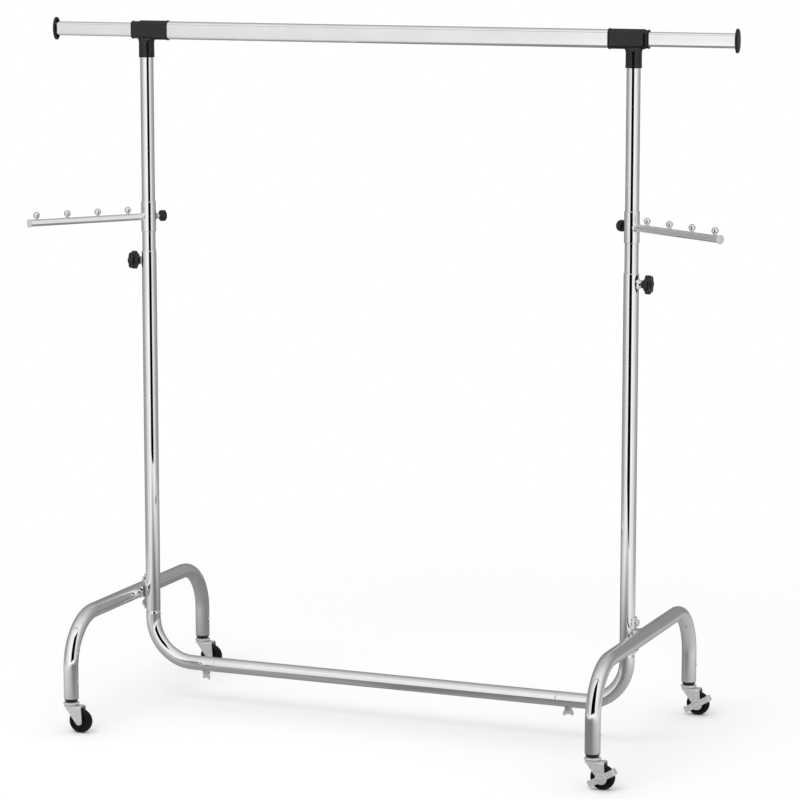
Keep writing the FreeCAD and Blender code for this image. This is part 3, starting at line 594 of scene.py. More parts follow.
# ------------------------------------------------------------------ moulded pieces of the top bar
def make_tee(side):
    """Socket, nose and stem of one moulding, with radiused lips and a flared saddle."""
    low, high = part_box(side + "_tee")
    s = SIDES[side]
    inner, outer = (low.x, high.x) if s > 0 else (high.x, low.x)
    height, width = 2 * (high.z - BAR_Z), size_of("main_bar").y + 2 * TEE_WALL
    corner = width / 2 - 0.0008
    drop = TEE_NOSE_DROP
    mouth = [size_of("main_bar").z + 0.0002, size_of("main_bar").y + 0.0002]
    exit_ = [size_of("left_extension_bar").z + 0.0002, size_of("left_extension_bar").y + 0.0002]

    def section(x, grow, base_height=height, base_width=width, base_corner=corner):
        return (x, base_height + 2 * grow, base_width + 2 * grow, base_corner + grow)

    lip, waist, rim = 0.0009, 0.0009, 0.0034
    step = POST[side].x + s * TEE_STEPS[side]
    stations = [(inner + s * 0.012, mouth[0], mouth[1], mouth[1] / 2 - 0.0008),
                (inner, mouth[0], mouth[1], mouth[1] / 2 - 0.0008),
                section(inner, -lip), section(inner + s * lip * 0.3, -lip * 0.3),
                section(inner + s * lip, 0.0), section(inner + s * (rim - 0.0005), 0.0),
                section(inner + s * rim, -0.0003), section(inner + s * (rim + 0.0003), -waist),
                section(step - s * 0.0012, -waist), section(step - s * 0.0003, -waist - 0.0003),
                section(step, -waist - 0.0012), section(step + s * 0.0004, -drop + 0.0002),
                section(step + s * 0.0012, -drop),
                section(outer - s * rim, -drop), section(outer - s * (rim - 0.0004), -drop + 0.0007),
                section(outer - s * lip, -drop + 0.0007),
                section(outer - s * lip * 0.3, -drop + 0.0005), section(outer, -drop - 0.0002),
                (outer, exit_[0], exit_[1], exit_[1] / 2 - 0.0005),
                (outer - s * 0.012, exit_[0], exit_[1], exit_[1] / 2 - 0.0005)]
    body = loft_x("body", stations, BAR_Z, caps=(False, False))
    stem_r = TEE_STEM_RADIUS
    under = BAR_Z - height / 2
    rings = [(POST_R + 0.0001, POST_R + 0.0001, low.z + 0.012),
             (POST_R + 0.0001, POST_R + 0.0001, low.z),
             (stem_r - lip, stem_r - lip, low.z), (stem_r - lip * 0.3, stem_r - lip * 0.3,
                                                   low.z + lip * 0.3),
             (stem_r, stem_r, low.z + lip), (stem_r, stem_r, low.z + 0.0046),
             (stem_r - 0.0004, stem_r - 0.0004, low.z + 0.0052),
             (stem_r - 0.0004, stem_r - 0.0004, under - 0.0060),
             (stem_r - 0.0001, stem_r - 0.0008, under - 0.0034),
             (stem_r + 0.0008, stem_r - 0.0016, under - 0.0010),
             (stem_r + 0.0020, stem_r - 0.0032, under + 0.0012),
             (stem_r + 0.0020, stem_r - 0.0060, under + 0.0050)]
    verts, loops = [], []
    for rx, ry, z in rings:
        loops.append([len(verts) + k for k in range(64)])
        for k in range(64):
            turn = 2 * math.pi * k / 64
            verts.append(Vector((POST[side].x + rx * math.cos(turn), ry * math.sin(turn), z)))
    stem = add_mesh("stem", verts, skin(loops))
    stand_for(join(side + "_tee_moulding", [body, stem]), side + "_tee")


def make_end_cap(side):
    """The lens-shaped cap: a rolled rim round a face that is slightly domed."""
    low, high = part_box(side + "_end_cap")
    s = SIDES[side]
    tip = high.x if s > 0 else low.x
    face = tip - s * CAP_THICKNESS
    half_h, half_w = (high.z - low.z) / 2, (high.y - low.y) / 2
    profile = [(-0.0045, 0.0), (-0.0012, 0.0), (-0.0003, 0.0004), (0.0, 0.0013),
               (0.0, 0.0038), (-0.0005, 0.0048), (-0.0016, 0.0054), (-0.0034, 0.0057),
               (-0.0070, 0.0059), (-0.0105, 0.0060)]
    verts, loops = [], []
    for inset, along in profile:
        loops.append([len(verts) + k for k in range(96)])
        for k in range(96):
            turn = 2 * math.pi * k / 96
            verts.append(Vector((face + s * along, (half_w + inset) * math.cos(turn),
                                 BAR_Z + (half_h + inset) * math.sin(turn))))
    loops.append([len(verts)])
    verts.append(Vector((face + s * CAP_THICKNESS, 0, BAR_Z)))
    flange = add_mesh("flange", verts, skin(loops))
    height, width = size_of(side + "_extension_bar").z, size_of(side + "_extension_bar").y
    plug = loft_x("plug", [(face + s * 0.001, height - 0.0026, width - 0.0026, width / 2 - 0.0020),
                           (face - s * 0.017, height - 0.0026, width - 0.0026,
                            width / 2 - 0.0020),
                           (face - s * 0.018, height - 0.0046, width - 0.0046,
                            width / 2 - 0.0030)], BAR_Z)
    stand_for(join(side + "_cap_moulding", [flange, plug]), side + "_end_cap")


# ------------------------------------------------------------------ knobs
def lobed_knob(name, profile, lobes, depth, sharpness, origin, heading, segments=196):
    """A knob whose rim has rounded lobes. Profile points are (radius, height, share of lobe)."""
    along, first, second = axes_about(heading)
    verts, loops = [], []
    for radius, height, share in profile:
        centre = origin + along * height
        if radius < 1e-6:
            loops.append([len(verts)])
            verts.append(centre)
            continue
        loops.append([len(verts) + k for k in range(segments)])
        for k in range(segments):
            turn = 2 * math.pi * k / segments
            valley = ((1 - math.cos(lobes * turn)) / 2) ** sharpness
            reach = radius - share * depth * valley
            verts.append(centre + first * (reach * math.cos(turn))
                         + second * (reach * math.sin(turn)))
    return add_mesh(name, verts, skin(loops), 38.0)


def make_height_knob(side):
    heading = Vector((SIDES[side], 0, 0))
    low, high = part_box(side + "_height_knob")
    start = low.x if SIDES[side] > 0 else high.x
    radius = (high.z - low.z) / 2
    z = (low.z + high.z) / 2
    face = STAR_HUB_LENGTH
    profile = [(0.0, 0.0012, 0), (0.0050, 0.0012, 0), (0.0054, 0.0, 0), (0.0078, 0.0, 0),
               (0.0083, 0.0005, 0), (0.0085, 0.0014, 0), (0.0089, face - 0.0012, 0),
               (0.0094, face - 0.0003, 0), (0.0104, face + 0.0002, 0),
               (radius - 0.0052, face + 0.0005, 0.6), (radius - 0.0018, face + 0.0002, 1),
               (radius - 0.0006, face + 0.0007, 1), (radius, face + 0.0019, 1),
               (radius, face + 0.0100, 1), (radius - 0.0004, face + 0.0113, 1),
               (radius - 0.0014, face + 0.0121, 1), (radius - 0.0032, face + 0.0125, 1),
               (radius - 0.0066, face + 0.0121, 0.6), (0.0105, face + 0.0116, 0),
               (0.0092, face + 0.0118, 0), (0.0088, face + 0.0124, 0),
               (0.0083, face + 0.0142, 0), (0.0074, face + 0.0147, 0), (0.0, face + 0.0147, 0)]
    knob = lobed_knob(side + "_star_knob", profile, 7, 0.0024, 1.0,
                      Vector((start, 0, z)), heading)
    stand_for(knob, side + "_height_knob")


def make_arm_knob(side):
    heading = -arm_heading(side)
    z = centre_of(side + "_arm_knob").z
    start = POST[side] + heading * (TUBE_R + ARM_BOSS_LENGTH + 0.0003)
    radius = ARM_KNOB_RADIUS
    profile = [(0.0, 0.0008, 0), (0.0052, 0.0008, 0), (0.0056, 0.0, 0), (radius - 0.0028, 0.0, 0),
               (radius - 0.0010, 0.0006, 0.6), (radius, 0.0018, 1), (radius, 0.0102, 1),
               (radius - 0.0008, 0.0113, 0.7), (radius - 0.0022, 0.0119, 0),
               (radius - 0.0040, 0.0120, 0), (radius - 0.0048, 0.0116, 0), (0.0, 0.0114, 0)]
    knob = lobed_knob(side + "_grip_knob", profile, 24, 0.0009, 0.8,
                      Vector((start.x, start.y, z)), heading, 288)
    stand_for(knob, side + "_arm_knob")


# ------------------------------------------------------------------ peg arms
def make_collar(side):
    low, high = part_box(side + "_arm_liner")
    length = high.z - low.z
    edge = 0.0011
    inner = TUBE_R - 0.00095
    outline = [(inner, 0.010), (inner, 0.0), (TUBE_R - edge, 0.0), (TUBE_R - 0.0003, 0.0005),
               (TUBE_R, edge), (TUBE_R, length - edge), (TUBE_R - 0.0003, length - 0.0005),
               (TUBE_R - edge, length), (inner, length), (inner, length - 0.010)]
    sleeve = lathe("sleeve", outline, (POST[side].x, 0, low.z), UP, TUBE_SEGMENTS)
    heading = -arm_heading(side)
    z = (low.z + high.z) / 2
    boss = make_boss(ARM_BOSS_ROOT, ARM_BOSS_TIP, ARM_BOSS_LENGTH,
                     Vector((POST[side].x, 0, z)), heading)
    stand_for(join(side + "_collar", [sleeve, boss]), side + "_arm_collar")


def make_arm(side):
    """The arm, coped to the collar, with the weld bead that runs round the joint."""
    heading = arm_heading(side)
    across = UP.cross(heading)
    z = centre_of(side + "_arm_liner").z
    axis = Vector((POST[side].x, 0, z))
    end = (centre_of(side + "_arm_cap") - axis)
    tip = Vector((end.x, end.y, 0)).length + ARM_CAP_HALF - ARM_CAP_THICKNESS
    radius = ARM_RADIUS
    profile = [(-0.0030, -0.0030, 1), (0.0, -0.0016, 1), (0.0019, -0.0002, 1), (0.0021, 0.0005, 1),
               (0.0016, 0.0013, 1), (0.0007, 0.0020, 1), (0.0001, 0.0026, 1), (0.0, 0.0034, 1),
               (0.0, 0.0060, 0.6), (0.0, 0.012, 0.0), (0.0, 0.014, 0.0)]
    verts, loops = [], []

    def add_loop(size, place):
        loops.append([len(verts) + k for k in range(48)])
        for k in range(48):
            turn = 2 * math.pi * k / 48
            side_way = size * math.cos(turn)
            verts.append(axis + heading * place(side_way) + across * side_way
                         + UP * (size * math.sin(turn)))

    for grow, shift, follow in profile:
        def place(offset, shift=shift, follow=follow):
            coped = math.sqrt(TUBE_R ** 2 - min(abs(offset), TUBE_R * 0.95) ** 2)
            return shift + follow * coped + (1 - follow) * TUBE_R
        add_loop(radius + grow, place)
    for size, along in ((radius, tip - 0.0015), (radius, tip - 0.0005), (radius - 0.0005, tip),
                        (radius - TUBE_WALL, tip), (radius - TUBE_WALL, tip - 0.012)):
        add_loop(size, lambda offset, along=along: along)
    stand_for(add_mesh(side + "_arm", verts, skin(loops)), side + "_arm_tube")


def make_pegs(side):
    """Ball pegs, each turned in one piece with its waisted neck and weld foot."""
    low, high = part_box(side + "_arm_pegs")
    heading = arm_heading(side)
    z = centre_of(side + "_arm_liner").z
    axis = Vector((POST[side].x, 0, z))
    ball = high.z - PEG_BALL_RADIUS - z
    foot = ARM_RADIUS - 0.0014
    outline = [(0.0, foot), (0.0052, foot), (0.0050, foot + 0.0016), (0.0040, foot + 0.0024),
               (0.0032, foot + 0.0034), (0.0029, foot + 0.0046)]
    start = math.asin(0.0029 / PEG_BALL_RADIUS)
    steps = 22
    for step in range(steps + 1):
        turn = start + (math.pi - start) * step / steps
        outline.append((PEG_BALL_RADIUS * math.sin(turn) if step < steps else 0.0,
                        ball - PEG_BALL_RADIUS * math.cos(turn)))
    corner_a = abs(low.x - POST[side].x)
    corner_b = abs(high.x - POST[side].x)
    near = (min(corner_a, corner_b) + PEG_BALL_RADIUS) / abs(heading.x)
    far = (max(corner_a, corner_b) - PEG_BALL_RADIUS) / abs(heading.x)
    pegs = []
    for number in range(PEG_COUNT):
        reach = near + (far - near) * number / (PEG_COUNT - 1)
        pegs.append(lathe("peg", outline, axis + heading * reach, UP, 40))
    stand_for(join(side + "_ball_pegs", pegs), side + "_arm_pegs")


def make_arm_cap(side):
    heading = arm_heading(side)
    middle = centre_of(side + "_arm_cap")
    tip = middle + heading * ARM_CAP_HALF
    t, r = ARM_CAP_THICKNESS, ARM_CAP_RADIUS
    outline = [(0.0056, -t - 0.008), (0.0058, -t), (r - 0.0008, -t), (r - 0.0002, -t + 0.0003),
               (r, -t + 0.001), (r, -0.0016), (r - 0.0005, -0.0007), (r - 0.0016, -0.0002),
               (r - 0.0035, 0.0), (0.0, 0.0)]
    stand_for(lathe(side + "_arm_end_cap", outline, tip, heading, 48), side + "_arm_cap")


# ------------------------------------------------------------------ stamped steel
def ribbon(name, stations, thickness, cells=10):
    """A strip of sheet steel: (centre, normal, sideways, from, to) along its length.

    The strip runs from `from` to `to` along `sideways`, with rounded edges.
    """
    verts, loops = [], []
    half = thickness / 2
    round_ = half * 0.45
    for centre, normal, sideways, start, end in stations:
        loop = []
        pull = min(round_, (end - start) / 4)
        row = [start + pull] + [start + (end - start) * (k + 1) / (cells + 1)
                                for k in range(cells)] + [end - pull]
        for value in row:
            loop.append(centre + normal * half + sideways * value)
        loop.append(centre + normal * (half - round_) + sideways * end)
        loop.append(centre - normal * (half - round_) + sideways * end)
        for value in reversed(row):
            loop.append(centre - normal * half + sideways * value)
        loop.append(centre - normal * (half - round_) + sideways * start)
        loop.append(centre + normal * (half - round_) + sideways * start)
        loops.append([len(verts) + k for k in range(len(loop))])
        verts.extend(loop)
    faces = skin(loops)
    faces.append(tuple(reversed(loops[0])))
    faces.append(tuple(loops[-1]))
    return add_mesh(name, verts, faces, 40.0)


def fork_range(z, boss, boss_z, trail, front, back, top):
    """How far the fork's side reaches in X at one height."""
    def edge(point_x, hand):
        reach = Vector((point_x - trail, top - boss_z))
        turn = hand * math.acos(boss / reach.length)
        base = math.atan2(reach.y, reach.x) + turn
        low = (trail + boss * math.cos(base), boss_z + boss * math.sin(base))
        if z >= low[1]:
            share = (z - low[1]) / (top - low[1])
            return low[0] + (point_x - low[0]) * share
        spread = math.sqrt(max(boss ** 2 - (z - boss_z) ** 2, 1e-9))
        return trail - spread if point_x < trail and hand > 0 else trail + spread
    return edge(front, 1), edge(back, -1)


def caster_axis(name):
    low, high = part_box(name + "_fork")
    pivot = next(j for j in frame["joints"] if j["name"] == name + "_swivel")["pos_m"]
    return Vector((pivot[0], pivot[1], 0)), low, high


def make_fork(name):
    """The stamped fork, folded over its crown, and the cup pressed up round the race."""
    place, low, high = caster_axis(name)
    axle = centre_of(name + "_wheel")
    trail = axle.x - place.x
    top = CROWN_BOTTOM + FORK_CROWN
    t = FORK_WALL
    mid = FORK_OUTER - t / 2
    bend = 0.0036
    boss_low = axle.z - FORK_BOSS
    path = []
    heights = [boss_low + 0.00002, boss_low + 0.0003, boss_low + 0.0009, boss_low + 0.002,
               boss_low + 0.0035, boss_low + 0.0052, axle.z]
    heights += [axle.z + (top - bend - axle.z) * k / 12 for k in range(1, 13)]
    for z in heights:
        path.append((-mid, z, -1.0, 0.0, z))
    for k in range(1, 9):
        turn = math.radians(90 * k / 8)
        path.append((-mid + bend - bend * math.cos(turn), top - bend + bend * math.sin(turn),
                     -math.cos(turn), math.sin(turn), top))
    mirrored = [(-y, z, -ny, nz, reach) for y, z, ny, nz, reach in reversed(path)]
    stations = []
    for y, z, ny, nz, reach in path + mirrored:
        first, last = fork_range(reach, FORK_BOSS, axle.z, trail, FORK_FRONT, FORK_BACK, top)
        stations.append((Vector((place.x, place.y + y, z)), Vector((0, ny, nz)),
                         Vector((1, 0, 0)), first, last))
    strap = ribbon("strap", stations, t)
    cup_top = high.z
    rise = cup_top - top
    outline = soften([(0.0115, -0.0010), (0.0132, 0.0006), (RACE_RADIUS - 0.0026, rise - 0.0014),
                      (RACE_RADIUS - 0.0012, rise - 0.0010), (RACE_RADIUS - 0.0012, rise),
                      (RACE_RADIUS - 0.0040, rise), (0.0048, rise - 0.0002),
                      (0.0048, rise - 0.002)], 0.0006)
    cup = lathe("cup", outline, (place.x, place.y, top), UP, 56)
    stand_for(join(name + "_fork_stamping", [strap, cup]), name + "_fork")


def make_axle(name):
    """The axle pin with a domed rivet head on each side."""
    low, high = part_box(name + "_axle")
    middle = centre_of(name + "_wheel")
    depth = 0.0024
    pin = lathe("pin", [(0.0030, low.y + 0.001), (0.0030, high.y - 0.001)],
                (middle.x, 0, middle.z), (0, 1, 0), 24)
    heads = []
    dome = [(0.0, 0.0), (0.0051, 0.0), (0.0052, 0.0004), (0.0048, 0.0012), (0.0040, 0.0018),
            (0.0032, 0.0021), (0.0028, 0.0022), (0.0024, 0.0018), (0.0020, 0.0017),
            (0.0, 0.0017)]
    for y, way in ((low.y + depth, -1), (high.y - depth, 1)):
        heads.append(lathe("head", dome, (middle.x, y, middle.z), (0, way, 0), 32))
    stand_for(join(name + "_axle_rivet", [pin] + heads), name + "_axle")


def make_wheel(name):
    """The wheel: crowned tread, stepped rim, dished web with ribs and a long hub."""
    low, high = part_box(name + "_wheel")
    middle = (low + high) / 2
    r = (high.z - low.z) / 2
    half = (high.y - low.y) / 2
    tread = half - 0.0008
    half_outline = [(0.0032, half), (0.0060, half), (0.0068, half - 0.0004), (0.0071, half - 0.0012),
                    (0.0076, tread - 0.0024), (0.0086, tread - 0.0027), (r - 0.0090, tread - 0.0027),
                    (r - 0.0081, tread - 0.0022), (r - 0.0072, tread - 0.0005),
                    (r - 0.0062, tread), (r - 0.0042, tread), (r - 0.0036, tread - 0.0005),
                    (r - 0.0030, tread - 0.0006), (r - 0.0018, tread - 0.0014),
                    (r - 0.0008, tread - 0.0028), (r - 0.0002, tread - 0.0046), (r, tread - 0.0066)]
    outline = half_outline + [(radius, -y) for radius, y in reversed(half_outline)]
    disc = lathe("disc", outline, middle, (0, 1, 0), 96)
    ribs = []
    for way in (-1, 1):
        for number in range(6):
            turn = math.radians(60 * number + 30)
            spoke = Vector((math.cos(turn), 0, math.sin(turn)))
            tangent = Vector((-math.sin(turn), 0, math.cos(turn)))
            face = way * (tread - 0.0027)
            start, end = 0.0074, r - 0.0084
            stations = []
            for reach in (start, start + (end - start) * 0.33, start + (end - start) * 0.66, end):
                stations.append((middle + spoke * reach + Vector((0, face, 0)),
                                 Vector((0, way, 0)), tangent, -0.0008, 0.0008))
            ribs.append(ribbon("rib", stations, 0.0022, 2))
    stand_for(join(name + "_moulded_wheel", [disc] + ribs), name + "_wheel")


def make_lever(name):
    """The brake lever: one strip folded at both ends, with a boss round the axle."""
    lever = name + "_brake_lever"
    middle = centre_of(name + "_wheel")
    t = LEVER_PLATE
    face = middle.y - FORK_OUTER - LEVER_GAP
    mid_y = face - t / 2
    bend = 0.0028
    reach = LEVER_REACH - t / 2
    tab = LEVER_TAB
    path = [(-reach, mid_y + tab - t / 2 - 0.0008, -1.0, 0.0)]
    for k in range(7):
        path.append((-reach, mid_y + bend + (tab - t / 2 - bend - 0.0024) * (6 - k) / 6, -1.0, 0.0))
    for k in range(1, 7):
        turn = math.radians(90 * k / 6)
        path.append((-reach + bend - bend * math.cos(turn), mid_y + bend - bend * math.sin(turn),
                     -math.cos(turn), -math.sin(turn)))
    flat = reach - bend
    for k in range(1, 24):
        path.append((-flat + flat * k / 24, mid_y, 0.0, -1.0))
    path.append((0.0, mid_y, 0.0, -1.0))
    path += [(-x, y, -nx, ny) for x, y, nx, ny in reversed(path[:-1])]
    stations = []
    tilt = Matrix.Rotation(math.radians(LEVER_TILT), 4, "Y")
    for number, (x, y, nx, ny) in enumerate(path):
        half = LEVER_WIDTH / 2
        boss = math.sqrt(max(LEVER_BOSS ** 2 - x ** 2, 0.0))
        half = max(half, boss)
        if number in (0, len(path) - 1):
            half -= 0.0022
        stations.append((Vector((x, y, 0)), Vector((nx, ny, 0)), UP, -half, half))
    strip = ribbon("strip", stations, t, 8)
    crown = soften([(0.0104, 0.0), (0.0098, 0.0008), (0.0084, 0.0012), (0.0074, 0.0012),
                    (0.0066, 0.0006), (0.0, 0.0006)], 0.0005)
    raised = lathe("raised", crown, (0, face - t, 0), (0, -1, 0), 48)
    piece = join(name + "_brake", [strip, raised])
    move = Matrix.Translation((middle.x, 0, middle.z)) @ tilt
    piece.data.transform(move)
    stand_for(piece, lever)


def make_bracket(side):
    """The clasp plate round the upright with its seat and the welds to the hoop."""
    node = side + "_leg_bracket"
    low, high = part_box(node)
    s = SIDES[side]
    axis = POST[side].x
    z = (low.z + high.z) / 2
    t = BRACKET_PLATE
    radius = TUBE_R + 0.00005 + t / 2
    limit = math.radians(BRACKET_HALF_ANGLE)
    half = (high.z - low.z) / 2
    stations = []
    count = 28
    for k in range(count + 1):
        turn = -limit + 2 * limit * k / count
        near = (limit - abs(turn)) * radius
        clip = 0.0
        if near < BRACKET_CORNER:
            clip = BRACKET_CORNER - math.sqrt(BRACKET_CORNER ** 2 - (BRACKET_CORNER - near) ** 2)
        out = Vector((s * math.cos(turn), math.sin(turn), 0))
        stations.append((Vector((axis, 0, z)) + out * radius, out, UP,
                         -half + clip, half - clip))
    plate = ribbon("plate", stations, t, 6)
    x_in = axis + s * (TUBE_R + t * 0.6)
    x_out = axis + s * (hoop_distance(side) - TUBE_R * 0.45)
    seat = loft_x("seat", [(x_in, SEAT_HEIGHT, SEAT_WIDTH, 0.002),
                           (x_out, SEAT_HEIGHT, SEAT_WIDTH, 0.002)], z)
    beads = []
    for way in (-1, 1):
        for k in (-1, 1):
            centre = Vector((axis + s * (hoop_distance(side) - TUBE_R * 0.62), 0,
                             z + way * (SEAT_HEIGHT / 2 + 0.0002)))
            beads.append(weld_line(centre, SEAT_WIDTH, k))
    stand_for(join(side + "_bracket", [plate, seat] + beads), node)


def hoop_distance(side):
    return abs(centre_of(side + "_leg_hoop").x - POST[side].x)


def weld_line(centre, length, seed):
    """A short weld bead along Y, its surface rippled by the torch."""
    outline = []
    steps = 40
    for k in range(steps + 1):
        share = k / steps
        swell = 0.0016 * (1 + 0.16 * math.sin(share * 40 + seed))
        taper = math.sqrt(max(1 - (2 * share - 1) ** 8, 0.0))
        outline.append((swell * taper if 0 < k < steps else 0.0, (share - 0.5) * length))
    return lathe("bead", outline, centre, (0, 1, 0), 12)


def make_bolts():
    """Domed hexagon bolts in the brackets."""
    pieces = []
    for side, s in SIDES.items():
        low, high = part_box(side + "_leg_bracket")
        middle = (low.z + high.z) / 2
        x = POST[side].x + s * (TUBE_R + 0.00005 + BRACKET_PLATE)
        for way in (-1, 1):
            z = middle + way * (high.z - low.z) / 2 * BOLT_SHARE
            heading = Vector((s, 0, 0))
            pieces.append(hex_prism("hex", BOLT_AF, (x, 0, z), heading, BOLT_HEAD - 0.0006))
            dome = [(BOLT_AF * 0.44, -0.0016), (BOLT_AF * 0.42, -0.0008),
                    (BOLT_AF * 0.34, -0.0003), (0.0, 0.0)]
            pieces.append(lathe("dome", dome, Vector((x, 0, z)) + heading * BOLT_HEAD,
                                heading, 32))
            pieces.append(lathe("shank", [(0.0038, -0.014), (0.0038, 0.001)], (x, 0, z),
                                heading, 20))
    stand_for(join("bracket_bolt_set", pieces), "bracket_bolts")


def make_wing_bolt(side):
    node = side + "_wing_bolt"
    low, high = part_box(node)
    middle = centre_of(node)
    nut_face = RAIL_Z - TUBE_R - WELD_NUT_HEIGHT
    top = nut_face - 0.0003
    depth = top - low.z
    hub = lathe("hub", soften([(0.0, 0.0), (0.0052, 0.0), (0.0054, 0.0012), (0.0046, depth * 0.6),
                               (0.0036, depth * 0.66), (0.0, depth * 0.66)], 0.0006),
                (middle.x, 0, top), (0, 0, -1), 32)
    shank = lathe("shank", [(0.0030, -0.001), (0.0030, high.z - top)], (middle.x, 0, top), UP, 20)
    wings = []
    for way in (-1, 1):
        stations = []
        for k in range(15):
            share = k / 14
            reach = 0.0036 + share * (WING_SPAN / 2 - 0.0036)
            drop = depth * (0.36 + 0.20 * share)
            half = depth * (0.20 + 0.24 * math.sin(math.pi * min(share * 0.62 + 0.16, 1.0)))
            if share > 0.75:
                half *= math.sqrt(max(1 - ((share - 0.75) / 0.25) ** 2, 0.0)) * 0.97 + 0.03
            stations.append((Vector((way * reach, 0, -drop)), Vector((0, 1, 0)), UP, -half, half))
        wings.append(ribbon("wing", stations, 0.0024, 6))
    turn = (Matrix.Translation((middle.x, 0, top))
            @ Matrix.Rotation(math.radians(WING_TURN * SIDES[side]), 4, "Z"))
    for wing in wings:
        wing.data.transform(turn)
    stand_for(join(side + "_wing_screw", [hub, shank] + wings), node)


# ------------------------------------------------------------------ caster sockets and races
def make_sockets_and_races():
    sockets, races = [], []
    socket_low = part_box("caster_sockets")[0].z
    leg_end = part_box("left_leg_hoop")[0].z
    for name in CASTERS:
        place, _, fork_high = caster_axis(name)
        show = leg_end - socket_low
        flange = [(0.0058, 0.0), (SOCKET_LOW_RADIUS - 0.0006, 0.0), (SOCKET_LOW_RADIUS, 0.0006),
                  (TUBE_R - 0.0016, show - 0.0022), (TUBE_R - 0.0006, show - 0.0018),
                  (TUBE_R - 0.0005, show - 0.0004), (TUBE_R - 0.0008, show - 0.00005),
                  (TUBE_R - TUBE_WALL - 0.0001, show - 0.00005),
                  (TUBE_R - TUBE_WALL - 0.0001, show + 0.030),
                  (0.0060, show + 0.030)]
        sockets.append(lathe("socket", flange, (place.x, place.y, socket_low), UP, 56))
        bottom = fork_high.z + 0.0003
        top = socket_low - 0.0001
        r = RACE_RADIUS
        race = soften([(0.0042, 0.0), (r - 0.0008, 0.0), (r, 0.0006), (r, 0.0020),
                       (r - 0.0006, 0.0026), (r - 0.0020, top - bottom - 0.0004),
                       (r - 0.0030, top - bottom), (0.0054, top - bottom),
                       (0.0054, top - bottom + 0.02)], 0.0005)
        races.append(lathe("race", race, (place.x, place.y, bottom), UP, 64))
        pivot = [(0.0, CROWN_BOTTOM - 0.0026), (0.0056, CROWN_BOTTOM - 0.0026),
                 (0.0061, CROWN_BOTTOM - 0.0020), (0.0061, CROWN_BOTTOM - 0.0003),
                 (0.0040, CROWN_BOTTOM - 0.0003), (0.0040, bottom + 0.001)]
        races.append(lathe("pivot", pivot, (place.x, place.y, 0), UP, 40))
    stand_for(join("leg_sockets", sockets), "caster_sockets")
    stand_for(join("caster_races", races), "caster_stems")


# ------------------------------------------------------------------ build the rack
TEE_STEPS = {"left": 0.014, "right": 0.024}
TEE_WALL = 0.0023
TEE_NOSE_DROP = 0.0028
TEE_STEM_RADIUS = 0.017
CAP_THICKNESS = 0.006
ARM_RADIUS = 0.00725
ARM_CAP_RADIUS = 0.0092
ARM_CAP_THICKNESS = 0.004
ARM_CAP_HALF = 0.0065
ARM_KNOB_RADIUS = 0.012
PEG_BALL_RADIUS = 0.0071
PEG_COUNT = 4
FORK_WALL = 0.0018
FORK_OUTER = 0.0120
FORK_BOSS = 0.0078
FORK_CROWN = 0.0020
FORK_FRONT = -0.0125
FORK_BACK = 0.0275
CROWN_BOTTOM = 0.0552
RACE_RADIUS = 0.0172
SOCKET_LOW_RADIUS = 0.0126
LEVER_PLATE = 0.0016
LEVER_GAP = 0.00035
LEVER_REACH = 0.0315
LEVER_TAB = 0.017
LEVER_TILT = -30.0
LEVER_WIDTH = 0.013
LEVER_BOSS = 0.0125
BRACKET_PLATE = 0.0036
BRACKET_HALF_ANGLE = 42.0
BRACKET_CORNER = 0.006
SEAT_WIDTH = 0.030
SEAT_HEIGHT = 0.024
BOLT_AF = 0.013
BOLT_HEAD = 0.0053
BOLT_SHARE = 26.5 / 38.0
WING_SPAN = 0.023
WING_TURN = 25.0

make_rail()
make_bar("main_bar", "top_bar")
for side in SIDES:
    make_hoop(side)
    make_elbow(side)
    make_lower_upright(side)
    make_post(side)
    make_bar(side + "_extension_bar", side + "_pull_out_bar")
    make_tee(side)
    make_end_cap(side)
    make_height_knob(side)
    make_arm_knob(side)
    make_collar(side)
    make_arm(side)
    make_pegs(side)
    make_arm_cap(side)
    make_bracket(side)
    make_wing_bolt(side)
make_bolts()
make_sockets_and_races()
for name in CASTERS:
    make_fork(name)
    make_axle(name)
    make_wheel(name)
    if name + "_brake_lever" in NODES:
        make_lever(name)

for node, obj in NODES.items():
    if not obj.hide_render:
        obj.data.materials.clear()
        obj.data.materials.append(FINISHES[SLOT_OF[node]])


# ------------------------------------------------------------------ studio
def grey_ramp(tree, source, stops):
    """A grey level for each value from 0 to 1, given as (value, grey) pairs."""
    ramp = tree.nodes.new("ShaderNodeValToRGB")
    elements = ramp.color_ramp.elements
    for element, (value, grey) in zip(elements, (stops[0], stops[-1])):
        element.position, element.color = value, (grey, grey, grey, 1)
    for value, grey in stops[1:-1]:
        elements.new(value).color = (grey, grey, grey, 1)
    tree.links.new(source, ramp.inputs["Fac"])
    return ramp.outputs["Color"]


def share_to_front(tree, heading):
    """0 for a heading away from the camera's side of the studio, 1 for one towards it."""
    dot = tree.nodes.new("ShaderNodeVectorMath")
    dot.operation = "DOT_PRODUCT"
    dot.inputs[1].default_value = TO_CAMERA
    tree.links.new(heading, dot.inputs[0])
    share = add_node(tree, "ShaderNodeMapRange", From_Min=-1.0, From_Max=1.0)
    tree.links.new(dot.outputs["Value"], share.inputs["Value"])
    return share.outputs["Result"]


def flat_heading(tree, source):
    """A vector laid flat and brought to unit length."""
    flat = tree.nodes.new("ShaderNodeVectorMath")
    flat.operation = "MULTIPLY"
    flat.inputs[1].default_value = (1, 1, 0)
    unit = tree.nodes.new("ShaderNodeVectorMath")
    unit.operation = "NORMALIZE"
    tree.links.new(source, flat.inputs[0])
    tree.links.new(flat.outputs["Vector"], unit.inputs[0])
    return unit.outputs["Vector"]


